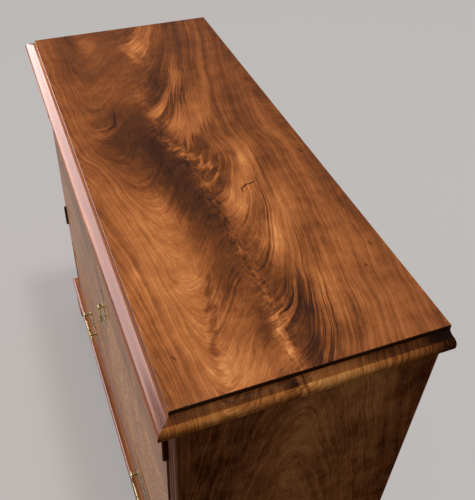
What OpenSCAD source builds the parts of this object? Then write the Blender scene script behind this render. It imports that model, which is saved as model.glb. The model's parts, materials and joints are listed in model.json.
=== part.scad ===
// Mahogany haberdashery cabinet: two cupboard doors above one long drawer, on bracket feet.
// Millimetres. X runs along the front, Y from front to back, Z up.
// The origin is on the floor, under the middle of the cabinet's outline.

/* [Carcass] */
// Width of the carcass over its end panels
carcass_w = 1098; // [1000:1:1300]
// Depth of the carcass, from the crest of the reeds to the back
carcass_d = 432; // [400:1:520]
// Thickness of the end panels
end_t = 22; // [18:1:26]
// Thickness of the back boards
back_t = 12; // [8:1:16]
// Number of back boards
back_count = 6; // [4:1:8]
// Shrinkage gap between two back boards
back_gap = 1; // [0.6:0.1:2]
// Width of the rebate in an end panel that holds the back boards
rebate_w = 10; // [6:1:14]
// Thickness of the dust board and the bottom board
board_t = 12; // [8:1:14]

/* [Heights] */
// Height of the bracket feet
foot_h = 106; // [90:1:140]
// Height of the bottom rail and of the base moulding in front of it
bottom_rail_h = 28; // [26:1:40]
// Height of the drawer opening
drawer_open_h = 190; // [160:1:240]
// Thickness of the rail between the drawer and the cupboard
divider_t = 20; // [18:1:26]
// Height of the cupboard opening
cupboard_h = 576; // [500:1:660]
// Height of the top rail
top_rail_h = 28; // [24:1:40]
// Thickness of the lining strips under the top
lining_t = 12; // [10:1:18]
// Thickness of the top board
top_t = 20; // [18:1:26]

/* [Top moulding] */
// Distance from the crest of the reeds forward to the arris of the top
arris_front = 6; // [3:0.5:10]
// Distance from an end panel outward to the arris of the top
arris_side = 1; // [0.5:0.5:4]
// Projection of the moulding beyond the arris
mould_p = 23; // [20:0.5:30]
// Projection at the foot of the lip under the arris
lip_p = 1.2; // [0.6:0.1:2.5]
// Height of the lip
lip_h = 6; // [4:0.5:8]
// Projection at the outer end of the cove
cove_p = 12; // [9:0.5:14]
// Depth of the cove below the lip
cove_drop = 6.5; // [5:0.5:8]
// Projection of the fillet between the cove and the nose
fillet_p = 0.8; // [0.4:0.1:1.5]
// Drop of the fillet between the cove and the nose
fillet_h = 1.6; // [1:0.1:2]
// Height of the flat of the nose
nose_flat = 5; // [3:0.5:6]
// Radius under the nose
nose_r = 4.5; // [2:0.5:5]
// Width of the lining strips
lining_w = 60; // [40:1:90]

/* [Corner stiles and rails] */
// Width of a corner stile
stile_w = 40; // [34:1:50]
// Depth of a corner stile
stile_d = 24; // [22:1:32]
// Number of reeds on a corner stile
reed_count = 3; // [2:1:4]
// Height of a reed above the ground of the stile
reed_h = 2.8; // [1.5:0.1:3]
// Width of the flat quirk between two reeds
quirk_w = 1.2; // [0.6:0.1:2]
// Depth of the front rails from front to back
rail_d = 60; // [50:1:90]

/* [Shelves] */
// Thickness of a shelf
shelf_t = 16; // [12:1:20]
// Number of spaces that the shelves make in the cupboard
bay_count = 3; // [3:1:3]
// Distance from the inside of the doors back to the shelves
shelf_setback = 24; // [16:1:40]
// Width of a shelf bearer
bearer_w = 16; // [12:1:22]
// Height of a shelf bearer
bearer_h = 20; // [14:1:26]

/* [Doors] */
// Thickness of a door with its veneer
door_t = 22; // [20:0.5:26]
// Thickness of the face veneer
veneer_t = 1.5; // [1:0.1:2]
// How far the door face stands in front of the reeds
door_proud = 2.5; // [1:0.1:4]
// Clearance round a door and round the drawer front
fit_gap = 1.5; // [1:0.1:2.5]
// Gap between the two doors
meet_gap = 2; // [1.5:0.1:3]
// Width of the stiles of a door frame
frame_stile_w = 70; // [60:1:90]
// Width of the rails of a door frame
frame_rail_w = 80; // [60:1:110]
// Thickness of the panel in a door frame
panel_t = 12; // [8:1:16]

/* [Hinges] */
// Length of a butt hinge
hinge_l = 64; // [50:1:80]
// Distance from the end of a door to the nearer hinge
hinge_inset = 70; // [50:1:110]
// Radius of the hinge barrel
barrel_r = 3.5; // [3:0.1:4]
// Radius of the hinge pin
hinge_pin_r = 1.5; // [1.2:0.1:1.8]
// Distance from the door face forward to the hinge axis
hinge_proud = 2.5; // [2:0.1:3]
// Width of a hinge leaf behind the door face
leaf_w = 19; // [16:0.5:19]
// Thickness of a hinge leaf
leaf_t = 1.8; // [1.5:0.1:2.2]
// Clearance between turning and fixed parts of a hinge
turn_gap = 0.3; // [0.2:0.05:0.4]
// Running clearance of a pin in its hole
pin_fit = 0.05; // [0.02:0.01:0.08]

/* [Screws] */
// Radius of a screw head
screw_head_r = 3; // [2.5:0.1:3.4]
// Thickness of a screw head
screw_head_t = 0.8; // [0.6:0.1:1]
// Radius of a screw shank
screw_r = 1.6; // [1.2:0.1:1.8]
// Length of a screw under its head
screw_l = 14; // [8:1:18]
// Clearance round a screw, a post or a lock
hole_fit = 0.1; // [0.05:0.05:0.2]

/* [Drawer] */
// Thickness of the drawer front
front_t = 22; // [20:0.5:26]
// How far the drawer face stands in front of the reeds
drawer_proud = 1; // [0:0.1:2]
// Width of the cock bead round the drawer front
bead_w = 3; // [2:0.1:4]
// How far the cock bead stands in front of the drawer face
bead_proud = 2; // [1:0.1:2.5]
// Depth that the cock bead is let into the drawer front
bead_in = 8; // [5:0.5:9]
// Thickness of the drawer sides and back
side_t = 10; // [8:0.5:13]
// Gap between the back of the shut drawer and the back boards
drawer_back_gap = 31; // [20:1:80]
// Distance from the top of the drawer front down to the drawer sides
side_drop = 6; // [4:1:12]
// Distance from the top of the drawer sides down to the drawer back
back_drop = 8; // [4:1:14]
// Thickness of the drawer bottom
drawer_bottom_t = 6; // [5:0.5:9]
// Height of the drawer bottom above the lower edge of the drawer sides
drawer_bottom_up = 8; // [6:1:12]
// Width of the part of a runner that a drawer side slides on
runner_w = 18; // [14:1:24]
// Height of a runner above the bottom board
runner_h = 10; // [8:1:11]
// Height of the guide beside a drawer side
guide_h = 25; // [15:1:40]
// Side clearance of the drawer between its guides
guide_gap = 0.8; // [0.5:0.1:1.2]
// Width of a drawer stop
stop_w = 40; // [25:1:60]
// Depth of a drawer stop
stop_d = 18; // [12:1:24]
// Height of a drawer stop above the bottom rail
stop_h = 6; // [5:0.5:7]

/* [Drawer handles] */
// Distance from the middle of the drawer to the middle of a handle
handle_x = 265; // [190:1:330]
// Distance between the two posts of a handle
post_span = 80; // [72:1:90]
// Distance from the drawer face forward to the axis of a bail
post_out = 16; // [12:0.5:18]
// Radius of the ball on a post
ball_r = 5.5; // [5:0.1:6.5]
// Radius of the neck of a post
neck_r = 3; // [2.6:0.1:3.5]
// Radius of the shank of a post inside the wood
shank_r = 2.5; // [2:0.1:2.5]
// Radius of the collar between a post and its plate
collar_r = 6; // [5:0.1:7]
// Thickness of the collar
collar_t = 1.4; // [1:0.1:2]
// Radius of a nut
nut_r = 7; // [5:0.5:8]
// Thickness of a nut
nut_t = 2.5; // [2:0.1:4]
// Thickness of a brass plate
plate_t = 1.2; // [1:0.1:1.6]
// Radius of the pivot at each end of a bail
bail_pin_r = 1.8; // [1.4:0.1:2]
// Radius of the rod of a bail
bail_r = 2.4; // [2.1:0.1:2.8]
// Gap between the ball of a post and the rod of a bail
neck_gap = 1; // [0.5:0.1:2]
// Radius of the first bend of a bail
neck_bend_r = 6; // [5:0.5:8]
// Length of the straight of a bail below its first bend
neck_drop = 6; // [2:0.5:10]
// Radius of the lower bend of a bail
low_bend_r = 18; // [14:0.5:22]
// Height by which the grip rises to its middle
grip_rise = 5; // [2:0.5:8]
// Radius of the knot at each end of the grip
grip_knot_r = 2.9; // [2.9:0.1:3.5]
// Radius of the bead in the middle of the grip
grip_bead_r = 4; // [3.5:0.1:5]

/* [Door pull] */
// Height of the pull's axis above the middle of the plate
pull_up = 12; // [8:1:16]
// Distance from the middle of the doors down to the middle of the plate
plate_down = 32; // [0:1:70]
// Distance from the meeting edge to the middle of the plate
plate_in = 17; // [16:1:24]
// Radius of the middle lobe of the plate
plate_lobe_r = 14; // [12:0.5:15]
// Distance from the middle of the plate to its tip
plate_half_l = 66; // [60:1:80]
// Distance from the door face forward to the axis of the drop
pull_out = 10; // [8.5:0.5:13]
// Radius of the eye of the drop
eye_r = 3.5; // [3:0.1:3.8]
// Width of the eye of the drop
eye_w = 3.6; // [3:0.1:4.5]
// Thickness of each ear of the fork
ear_t = 2.2; // [1.8:0.1:3]
// Radius of the pin through the eye
eye_pin_r = 1.5; // [1.2:0.1:1.7]
// Length of the drop below its axis
drop_l = 50; // [40:1:60]
// Radius of the pear end of the drop
drop_r = 5.5; // [4.5:0.1:6.5]
// Radius of the stem of the drop
stem_r = 1.9; // [1.6:0.1:2.4]

/* [Locks and bolts] */
// Thickness of a lock case
case_t = 12; // [9:0.5:13]
// Width of a lock case across the bolt
case_w = 54; // [48:1:64]
// Depth of a lock case along the bolt
case_l = 48; // [42:1:54]
// Distance that a lock bolt shoots
bolt_throw = 8; // [5:0.5:9]
// Width of a lock bolt
bolt_w = 16; // [10:0.5:18]
// Thickness of a lock bolt
bolt_t = 4; // [3:0.1:5]
// Length of a lock bolt
bolt_l = 30; // [24:1:32]
// Sliding clearance round a bolt
bolt_fit = 0.3; // [0.2:0.05:0.4]
// Radius of the round of a keyhole
key_r = 3; // [2.4:0.1:3.4]
// Radius of a door bolt
door_bolt_r = 3; // [2.5:0.1:3.5]
// Running clearance of a door bolt in its case
door_bolt_fit = 0.1; // [0.05:0.05:0.2]
// Length of a door bolt and of its case
door_bolt_l = 70; // [60:1:90]
// Distance that a door bolt slides
door_bolt_throw = 8; // [5:0.5:9]
// Width of the case of a door bolt
door_bolt_case_w = 14; // [12:0.5:18]
// Thickness of the case of a door bolt
door_bolt_case_t = 8; // [8:0.5:10]
// Distance from the meeting edge to a door bolt
door_bolt_in = 22; // [14:1:40]

/* [Base moulding] */
// Projection of the base moulding
base_p = 16.5; // [13:0.5:18]
// Distance from the front of the torus back to the fascia under it
fascia_back = 2.5; // [1:0.5:4]
// Radius of the torus
torus_r = 6; // [4:0.1:6.4]
// Height of the middle of the torus above the feet
torus_z = 16; // [12:0.5:16]
// Projection of the small cove above the torus
top_cove_p = 5.5; // [3:0.1:6]
// Height of the small cove above the torus
top_cove_h = 5.5; // [2:0.1:5.5]
// Projection of the upper edge of the base moulding
top_edge_p = 0.8; // [0.5:0.1:1.2]

/* [Feet] */
// Projection of the feet beyond the carcass
foot_p = 12; // [6:0.5:12.5]
// Thickness of the foot brackets
foot_t = 24; // [20:1:28]
// Width of a foot along the front
foot_w = 150; // [130:1:190]
// Width of a foot along the end
foot_side_w = 130; // [125:1:160]
// Width of a toe
toe_w = 58; // [45:1:62]
// Slope of the inner edge of a toe
toe_slope = 3; // [0:0.5:6]
// Height of the straight part of a foot
shin_h = 34; // [20:1:36]
// Radius of the hollow of a foot
foot_r = 30; // [18:1:32]
// Height of the cusp above the hollow
cusp_h = 5; // [2:0.5:8]
// Height left under the base moulding at the end of a bracket
bracket_lip = 6; // [4:0.5:10]
// Width of a glue block
block_w = 35; // [25:1:45]
// Height of a glue block above the floor
block_up = 4; // [2:0.5:10]
// Width of the brace across the back of a rear foot
brace_w = 100; // [80:1:130]

/* [Hidden] */
$fn = 48;

// Colours of the woods and metals
MAHOGANY = "#7b4425";
MAHOGANY_DARK = "#4a2817";
MAHOGANY_FACE = "#6d4a35";
OAK = "#a58457";
PINE = "#b8935f";
BRASS = "#c8a25a";
STEEL = "#8d8d8c";

// Cut-through allowance of every opening that goes right through
eps = 1;
// Steps in a moulded curve
arc_steps = 12;

// Main planes across the cabinet
x_end = carcass_w/2;
x_in = x_end - end_t;
x_open = x_end - stile_w;
x_leaf = x_open - fit_gap;
x_arris = x_end + arris_side;

// Main planes from front to back
y_back = (carcass_d + arris_front + mould_p)/2;
y_crest = y_back - carcass_d;
y_ground = y_crest + reed_h;
y_stile = y_crest + stile_d;
y_arris = y_crest - arris_front;
y_rail = y_ground + rail_d;
y_boards = y_back - back_t;
y_door = y_crest - door_proud;
y_door_in = y_door + door_t;
y_draw = y_crest - drawer_proud;
y_draw_in = y_draw + front_t;
y_shelf = y_door_in + shelf_setback;

// Main planes from the floor up
z_carcass = foot_h;
z_drawer = z_carcass + bottom_rail_h;
z_divider = z_drawer + drawer_open_h;
z_cup = z_divider + divider_t;
z_rail = z_cup + cupboard_h;
z_lining = z_rail + top_rail_h;
z_board = z_lining + lining_t;
z_top = z_board + top_t;
mould_h = lining_t + top_t;
nose_h = mould_h - nose_r - nose_flat;

// Doors
door_z0 = z_cup + fit_gap;
door_z1 = z_rail - fit_gap;
door_mid = (door_z0 + door_z1)/2;
x_meet = meet_gap/2;
y_core = y_door + veneer_t;

// Hinges
hinge_x = x_open - fit_gap/2;
hinge_y = y_door - hinge_proud;
hinge_z = [door_z0 + hinge_inset, door_z1 - hinge_inset - hinge_l];
knuckles = 5;
knuckle_l = hinge_l/knuckles;
leaf_screw_n = 3;
leaf_screw_y = y_door + (leaf_w + barrel_r)/2;
leaf_screw_step = hinge_l/leaf_screw_n;
pin_head_r = barrel_r - 0.7;
pin_head_t = 1.2;

// Pull on the right door
plate_x = x_meet + plate_in;
plate_z = door_mid - plate_down;
pull_z = plate_z + pull_up;
pull_y = y_door - pull_out;
key_z = plate_z - pull_up - 2*key_r - shank_r;
key_slot_w = key_r;
key_slot_l = 3*key_r;

// Locks
lock_z = key_z;
lock_y = y_door_in - case_t/2;
drawer_lock_y = y_draw_in - case_t/2;
door_bolt_x = -(x_meet + door_bolt_in);
door_bolt_y = y_door_in + door_bolt_case_t/2;
bolt_knob_r = 2.2;
bolt_knob_l = 4;

// Drawer
draw_z0 = z_drawer + fit_gap;
draw_z1 = z_divider - fit_gap;
draw_mid = (draw_z0 + draw_z1)/2;
y_draw_end = y_boards - drawer_back_gap;
y_lap = y_draw + bead_in;
side_z1 = draw_z1 - side_drop;
bottom_z0 = draw_z0 + drawer_bottom_up;
bottom_z1 = bottom_z0 + drawer_bottom_t;
z_bottom_board = z_drawer - runner_h;
handle_y = y_draw - post_out;
handle_half = post_span/2;

// Shelves
bay_h = (cupboard_h - (bay_count - 1)*shelf_t)/bay_count;
shelf_z = [for (i = [1:bay_count - 1]) z_cup + i*bay_h + (i - 1)*shelf_t];

// Reeds
reed_pitch = stile_w/reed_count;
reed_w = reed_pitch - quirk_w;
reed_r = (reed_w*reed_w/4 + reed_h*reed_h)/(2*reed_h);

// Points along part of an ellipse
function arc_points(cx, cy, rx, ry, a0, a1) = [
  for (i = [0:arc_steps]) let(a = a0 + (a1 - a0)*i/arc_steps) [cx + rx*cos(a), cy + ry*sin(a)]
];

// Section of the top moulding: outward from the arris, and down as minus
function top_section() = concat(
  [[0, 0]],
  arc_points(cove_p, -lip_h, cove_p - lip_p, cove_drop, 180, 270),
  arc_points(cove_p + fillet_p, -nose_h, mould_p - cove_p - fillet_p,
             nose_h - lip_h - cove_drop - fillet_h, 90, 0),
  arc_points(mould_p - nose_r, nose_r - mould_h, nose_r, nose_r, 0, -90),
  [[0, -mould_h]]
);

// Section of the base moulding: outward from the carcass, and up
fascia_p = base_p - fascia_back;
fascia_a = acos(1 - fascia_back/torus_r);
function base_section() = concat(
  [[0, 0], [fascia_p, 0]],
  arc_points(base_p - torus_r, torus_z, torus_r, torus_r, -fascia_a, 90),
  arc_points(top_cove_p, bottom_rail_h, top_cove_p - top_edge_p, top_cove_h, 270, 180),
  [[0, bottom_rail_h]]
);

// Outline of a foot bracket: along from the corner, and up
hollow_x = toe_w + toe_slope + foot_r;
hollow_z = shin_h + foot_r + cusp_h;
function bracket(len) = concat(
  [[0, 0], [toe_w, 0]],
  arc_points(hollow_x, shin_h, foot_r, foot_r, 180, 90),
  arc_points(hollow_x, foot_h - bracket_lip, len - hollow_x, foot_h - bracket_lip - hollow_z,
             270, 360),
  [[len, foot_h], [0, foot_h]]
);

module box(x, y, z) {
  translate([x[0], y[0], z[0]]) cube([x[1] - x[0], y[1] - y[0], z[1] - z[0]]);
}

// Round bars along each axis
module bar_x(r, x, y, z) {
  translate([x[0], y, z]) rotate([0, 90, 0]) cylinder(r = r, h = x[1] - x[0]);
}

module bar_y(r, x, y, z) {
  translate([x, y[0], z]) rotate([-90, 0, 0]) cylinder(r = r, h = y[1] - y[0]);
}

module bar_z(r, x, y, z) {
  translate([x, y, z[0]]) cylinder(r = r, h = z[1] - z[0]);
}

module both_sides() {
  children();
  mirror([1, 0, 0]) children();
}

// An outline in X and Z made into a plate, from y forward by t
module upright_plate(y, t) {
  translate([0, y, 0]) rotate([90, 0, 0]) linear_extrude(t) children();
}

// Top of the cabinet
module top_board() {
  color(MAHOGANY) box([-x_arris, x_arris], [y_arris, y_back], [z_board, z_top]);
}

module top_lining() {
  color(PINE) {
    box([-x_arris, x_arris], [y_arris, y_arris + lining_w], [z_lining, z_board]);
    box([-x_arris, x_arris], [y_back - lining_w, y_back], [z_lining, z_board]);
    both_sides() box([x_arris - lining_w, x_arris], [y_arris + lining_w, y_back - lining_w],
                     [z_lining, z_board]);
  }
}

// A moulding along the front, mitred at both ends
module front_moulding(x, y, z, p, h) {
  intersection() {
    translate([-x - p, y, z]) rotate([90, 0, 90]) linear_extrude(2*(x + p))
      mirror([1, 0]) children();
    translate([0, 0, z - h]) linear_extrude(2*h)
      polygon([[-x, y], [x, y], [x + p, y - p], [-x - p, y - p]]);
  }
}

// A moulding along the right end, mitred at the front and square at the back
module end_moulding(x, y, z, p, h) {
  intersection() {
    translate([x, y_back, z]) rotate([90, 0, 0]) linear_extrude(y_back - y + p) children();
    translate([0, 0, z - h]) linear_extrude(2*h)
      polygon([[x, y], [x + p, y - p], [x + p, y_back], [x, y_back]]);
  }
}

module top_moulding_front() {
  color(MAHOGANY) front_moulding(x_arris, y_arris, z_top, mould_p, mould_h) polygon(top_section());
}

module top_moulding_right() {
  color(MAHOGANY) end_moulding(x_arris, y_arris, z_top, mould_p, mould_h) polygon(top_section());
}

module top_moulding_left() {
  mirror([1, 0, 0]) top_moulding_right();
}

// Carcass
module end_panel_right() {
  color(MAHOGANY_DARK) difference() {
    box([x_in, x_end], [y_stile, y_back], [z_carcass, z_lining]);
    box([x_in - eps, x_in + rebate_w], [y_boards, y_back + eps],
        [z_carcass - eps, z_lining + eps]);
  }
}

module end_panel_left() {
  mirror([1, 0, 0]) end_panel_right();
}

module stile_section() {
  translate([x_open, y_ground]) square([stile_w, y_stile - y_ground]);
  for (i = [0:reed_count - 1]) {
    reed_x = x_open + (i + 0.5)*reed_pitch;
    intersection() {
      translate([reed_x, y_crest + reed_r]) circle(r = reed_r);
      translate([reed_x - reed_w/2, y_crest]) square([reed_w, reed_h + eps]);
    }
  }
}

module corner_stile_right() {
  color(MAHOGANY) difference() {
    translate([0, 0, z_carcass]) linear_extrude(z_lining - z_carcass) stile_section();
    for (z = hinge_z) {
      box([x_open - eps, x_open + leaf_t], [y_crest - eps, y_door + leaf_w],
          [z, z + hinge_l]);
      leaf_screws(z) bar_x(screw_r + hole_fit, [x_open, x_open + leaf_t + screw_l],
                           leaf_screw_y, 0);
    }
  }
}

module corner_stile_left() {
  mirror([1, 0, 0]) corner_stile_right();
}

// Plan of a front rail: between the stiles in front, and between the end panels behind them
module rail_plan() {
  translate([-x_open, y_ground]) square([2*x_open, y_stile - y_ground]);
  translate([-x_in, y_stile]) square([2*x_in, y_rail - y_stile]);
}

module rail(z) {
  translate([0, 0, z[0]]) linear_extrude(z[1] - z[0]) rail_plan();
}

module top_rail() {
  color(MAHOGANY) difference() {
    rail([z_rail, z_lining]);
    bar_z(door_bolt_r + bolt_fit, door_bolt_x, door_bolt_y,
          [z_rail - eps, z_rail + door_bolt_throw]);
  }
}

module divider_rail() {
  color(MAHOGANY) difference() {
    rail([z_divider, z_cup]);
    bar_z(door_bolt_r + bolt_fit, door_bolt_x, door_bolt_y,
          [z_cup - door_bolt_throw, z_cup + eps]);
    box([-bolt_w/2 - bolt_fit, bolt_w/2 + bolt_fit],
        [drawer_lock_y - bolt_t/2 - bolt_fit, drawer_lock_y + bolt_t/2 + bolt_fit],
        [z_divider - eps, z_divider + bolt_throw]);
  }
}

module bottom_rail() {
  color(MAHOGANY) rail([z_carcass, z_drawer]);
}

module dust_board() {
  color(OAK) box([-x_in, x_in], [y_rail, y_boards], [z_cup - board_t, z_cup]);
}

module bottom_board() {
  color(OAK) box([-x_in, x_in], [y_rail, y_boards],
                 [z_bottom_board - board_t, z_bottom_board]);
}

module back_boards() {
  back_w = 2*(x_in + rebate_w);
  pitch = back_w/back_count;
  color(PINE) for (i = [0:back_count - 1])
    box([-back_w/2 + i*pitch + back_gap/2, -back_w/2 + (i + 1)*pitch - back_gap/2],
        [y_boards, y_back], [z_carcass, z_lining]);
}

// Shelves and their bearers
module shelf(z) {
  color(OAK) box([-x_in, x_in], [y_shelf, y_boards], [z, z + shelf_t]);
}

module shelf_lower() {
  shelf(shelf_z[0]);
}

module shelf_upper() {
  shelf(shelf_z[1]);
}

module shelf_bearers() {
  color(OAK) both_sides() for (z = shelf_z)
    box([x_in - bearer_w, x_in], [y_shelf, y_boards], [z - bearer_h, z]);
}

// Runners, guides and stops of the drawer
module drawer_runners() {
  run_z = draw_z0 - turn_gap;
  color(OAK) both_sides() union() {
    box([x_open - runner_w, x_in], [y_rail, y_boards], [z_bottom_board, run_z]);
    box([x_leaf + guide_gap, x_in], [y_rail, y_boards], [z_bottom_board, run_z + guide_h]);
  }
}

module drawer_stops() {
  color(OAK) both_sides()
    box([handle_x - stop_w/2, handle_x + stop_w/2], [y_draw_in, y_draw_in + stop_d],
        [z_drawer, z_drawer + stop_h]);
}

// Base moulding
module base_moulding_front() {
  color(MAHOGANY) front_moulding(x_end, y_crest, z_carcass, base_p, bottom_rail_h)
    polygon(base_section());
  color(MAHOGANY) box([-x_open, x_open], [y_crest - top_edge_p/2, y_ground],
                      [z_carcass, z_drawer]);
}

module base_moulding_right() {
  color(MAHOGANY) end_moulding(x_end, y_crest, z_carcass, base_p, bottom_rail_h)
    polygon(base_section());
}

module base_moulding_left() {
  mirror([1, 0, 0]) base_moulding_right();
}

// Feet: one bracket along X from the corner at the origin, mitred there
module mitred_bracket(len) {
  intersection() {
    upright_plate(foot_t, foot_t) polygon(bracket(len));
    linear_extrude(foot_h) polygon([[0, 0], [len, 0], [len, foot_t], [foot_t, foot_t]]);
  }
}

module glue_block() {
  translate([foot_t, foot_t, block_up]) cube([block_w, block_w, foot_h - block_up]);
}

module foot_front_left() {
  color(MAHOGANY) translate([-x_end - foot_p, y_crest - foot_p, 0]) {
    mitred_bracket(foot_w);
    mirror([1, -1, 0]) mitred_bracket(foot_side_w);
    glue_block();
  }
}

module foot_front_right() {
  mirror([1, 0, 0]) foot_front_left();
}

module foot_back_left() {
  color(MAHOGANY) translate([-x_end - foot_p, y_back, 0]) mirror([0, 1, 0]) {
    mirror([1, -1, 0]) upright_plate(foot_t, foot_t) polygon(bracket(foot_side_w));
    upright_plate(foot_t, foot_t)
      polygon([[foot_t, 0], [toe_w, 0], [brace_w, foot_h], [foot_t, foot_h]]);
    glue_block();
  }
}

module foot_back_right() {
  mirror([1, 0, 0]) foot_back_left();
}

// Screws of one hinge leaf: puts its child at each screw's height
module leaf_screws(z) {
  for (i = [0:leaf_screw_n - 1]) translate([0, 0, z + (i + 0.5)*leaf_screw_step]) children();
}

// A slotted screw along X with the face of its head at the origin
module screw() {
  difference() {
    union() {
      bar_x(screw_head_r, [0, screw_head_t], 0, 0);
      bar_x(screw_r, [0, screw_l], 0, 0);
    }
    box([-eps, screw_head_t/2], [-screw_head_r - eps, screw_head_r + eps],
        [-screw_head_t/2, screw_head_t/2]);
  }
}

module screw_hole() {
  bar_x(screw_head_r + hole_fit, [-eps, screw_head_t + hole_fit], 0, 0);
  bar_x(screw_r + hole_fit, [0, screw_l], 0, 0);
}

// Barrels of the hinge: the even ones belong to the carcass, the odd ones to the door
module barrels(z, first, r, gap) {
  for (i = [first:2:knuckles - 1])
    bar_z(r, hinge_x, hinge_y, [z + i*knuckle_l + gap, z + (i + 1)*knuckle_l - gap]);
}

// A leaf of a right-hand hinge, with its flat at x
module hinge_leaf(z, x, first) {
  difference() {
    union() {
      difference() {
        box(x, [hinge_y, y_door + leaf_w], [z, z + hinge_l]);
        barrels(z, 1 - first, barrel_r + turn_gap, -turn_gap/2);
      }
      barrels(z, first, barrel_r, turn_gap/2);
    }
    bar_z(hinge_pin_r + pin_fit, hinge_x, hinge_y, [z - eps, z + hinge_l + eps]);
  }
}

module hinge_leaves_carcass() {
  color(BRASS) both_sides() for (z = hinge_z) difference() {
    hinge_leaf(z, [x_open, x_open + leaf_t], 0);
    leaf_screws(z) translate([x_open, leaf_screw_y, 0]) screw_hole();
  }
}

module hinge_screws_carcass() {
  color(BRASS) both_sides() for (z = hinge_z)
    leaf_screws(z) translate([x_open, leaf_screw_y, 0]) screw();
}

module hinge_pins() {
  color(BRASS) both_sides() for (z = hinge_z) union() {
    bar_z(hinge_pin_r, hinge_x, hinge_y, [z, z + hinge_l]);
    bar_z(pin_head_r, hinge_x, hinge_y, [z + hinge_l, z + hinge_l + pin_head_t]);
  }
}

module door_hinge_leaves() {
  color(BRASS) for (z = hinge_z) difference() {
    hinge_leaf(z, [x_leaf - leaf_t, x_leaf], 1);
    leaf_screws(z) translate([x_leaf, leaf_screw_y, 0]) mirror([1, 0, 0]) screw_hole();
  }
}

module door_hinge_screws() {
  color(BRASS) for (z = hinge_z)
    leaf_screws(z) translate([x_leaf, leaf_screw_y, 0]) mirror([1, 0, 0]) screw();
}

// Doors, drawn as the right-hand one
module hinge_cuts() {
  for (z = hinge_z) {
    bar_z(barrel_r + 2*turn_gap, hinge_x, hinge_y, [z - turn_gap, z + hinge_l + pin_head_t]);
    box([x_leaf - leaf_t, x_leaf + eps], [y_door - eps, y_door + leaf_w], [z, z + hinge_l]);
    leaf_screws(z) bar_x(screw_r + hole_fit, [x_leaf - screw_l - leaf_t, x_leaf],
                         leaf_screw_y, 0);
  }
}

module door_frame() {
  difference() {
    union() {
      box([x_meet, x_meet + frame_stile_w], [y_core, y_door_in], [door_z0, door_z1]);
      box([x_leaf - frame_stile_w, x_leaf], [y_core, y_door_in], [door_z0, door_z1]);
    }
    hinge_cuts();
  }
  for (z = [door_z0, door_z1 - frame_rail_w])
    box([x_meet + frame_stile_w, x_leaf - frame_stile_w], [y_core, y_door_in],
        [z, z + frame_rail_w]);
}

module door_panel() {
  color(OAK) box([x_meet + frame_stile_w, x_leaf - frame_stile_w], [y_core, y_core + panel_t],
                 [door_z0 + frame_rail_w, door_z1 - frame_rail_w]);
}

module door_veneer() {
  difference() {
    union() for (z = [[door_z0, door_mid], [door_mid, door_z1]])
      box([x_meet, x_leaf], [y_door, y_core], z);
    hinge_cuts();
  }
}

// Left door with its bolts
module door_left_frame() {
  color(MAHOGANY) difference() {
    mirror([1, 0, 0]) door_frame();
    box([-x_meet - bolt_throw - bolt_fit, -x_meet + eps],
        [lock_y - bolt_t/2 - bolt_fit, lock_y + bolt_t/2 + bolt_fit],
        [lock_z - bolt_w/2 - bolt_fit, lock_z + bolt_w/2 + bolt_fit]);
  }
}

module door_left_panel() {
  mirror([1, 0, 0]) door_panel();
}

module door_left_veneer() {
  color(MAHOGANY_FACE) mirror([1, 0, 0]) door_veneer();
}

module door_left_hinge_leaves() {
  mirror([1, 0, 0]) door_hinge_leaves();
}

module door_left_screws() {
  mirror([1, 0, 0]) door_hinge_screws();
}

// A door bolt and its case, with the end of the bolt at the origin, pointing up
module door_bolt() {
  bar_z(door_bolt_r, 0, 0, [-door_bolt_l, 0]);
  bar_y(bolt_knob_r, 0, [0, door_bolt_case_t/2 + bolt_knob_l], -door_bolt_l/2);
}

module door_bolt_case() {
  slot = bolt_knob_r + hole_fit;
  difference() {
    box([-door_bolt_case_w/2, door_bolt_case_w/2], [-door_bolt_case_t/2, door_bolt_case_t/2],
        [-door_bolt_l, 0]);
    bar_z(door_bolt_r + door_bolt_fit, 0, 0, [-door_bolt_l - eps, eps]);
    box([-slot, slot], [0, door_bolt_case_t],
        [-door_bolt_l/2 - slot, -door_bolt_l/2 + slot + door_bolt_throw]);
  }
}

module at_upper_bolt() {
  translate([door_bolt_x, door_bolt_y, door_z1]) children();
}

module at_lower_bolt() {
  translate([door_bolt_x, door_bolt_y, door_z0]) mirror([0, 0, 1]) children();
}

module door_left_bolt_cases() {
  color(BRASS) {
    at_upper_bolt() door_bolt_case();
    at_lower_bolt() door_bolt_case();
  }
}

module door_bolt_upper() {
  color(BRASS) at_upper_bolt() door_bolt();
}

module door_bolt_lower() {
  color(BRASS) at_lower_bolt() door_bolt();
}

// Right door with its lock and pull
module keyhole(y) {
  bar_y(key_r, 0, y, 0);
  box([-key_slot_w/2, key_slot_w/2], y, [-key_slot_l, 0]);
}

module door_right_frame() {
  color(MAHOGANY) difference() {
    door_frame();
    box([x_meet - eps, x_meet + case_l], [y_door_in - case_t, y_door_in + eps],
        [lock_z - case_w/2, lock_z + case_w/2]);
    translate([plate_x, 0, key_z]) keyhole([y_core - eps, y_door_in]);
    bar_y(shank_r + hole_fit, plate_x, [y_core - eps, y_door_in + eps], pull_z);
  }
}

module door_right_panel() {
  door_panel();
}

module door_right_veneer() {
  color(MAHOGANY_FACE) difference() {
    door_veneer();
    translate([plate_x, 0, key_z]) keyhole([y_door - eps, y_core + eps]);
    bar_y(shank_r + hole_fit, plate_x, [y_door - eps, y_core + eps], pull_z);
  }
}

module door_right_hinge_leaves() {
  door_hinge_leaves();
}

module door_right_screws() {
  door_hinge_screws();
}

// A lock with the end of its bolt at the origin and the bolt shooting along minus X
module lock_case() {
  difference() {
    box([0, case_l], [-case_t/2, case_t/2], [-case_w/2, case_w/2]);
    box([-eps, bolt_l + bolt_fit], [-bolt_t/2 - bolt_fit, bolt_t/2 + bolt_fit],
        [-bolt_w/2 - bolt_fit, bolt_w/2 + bolt_fit]);
  }
}

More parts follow.
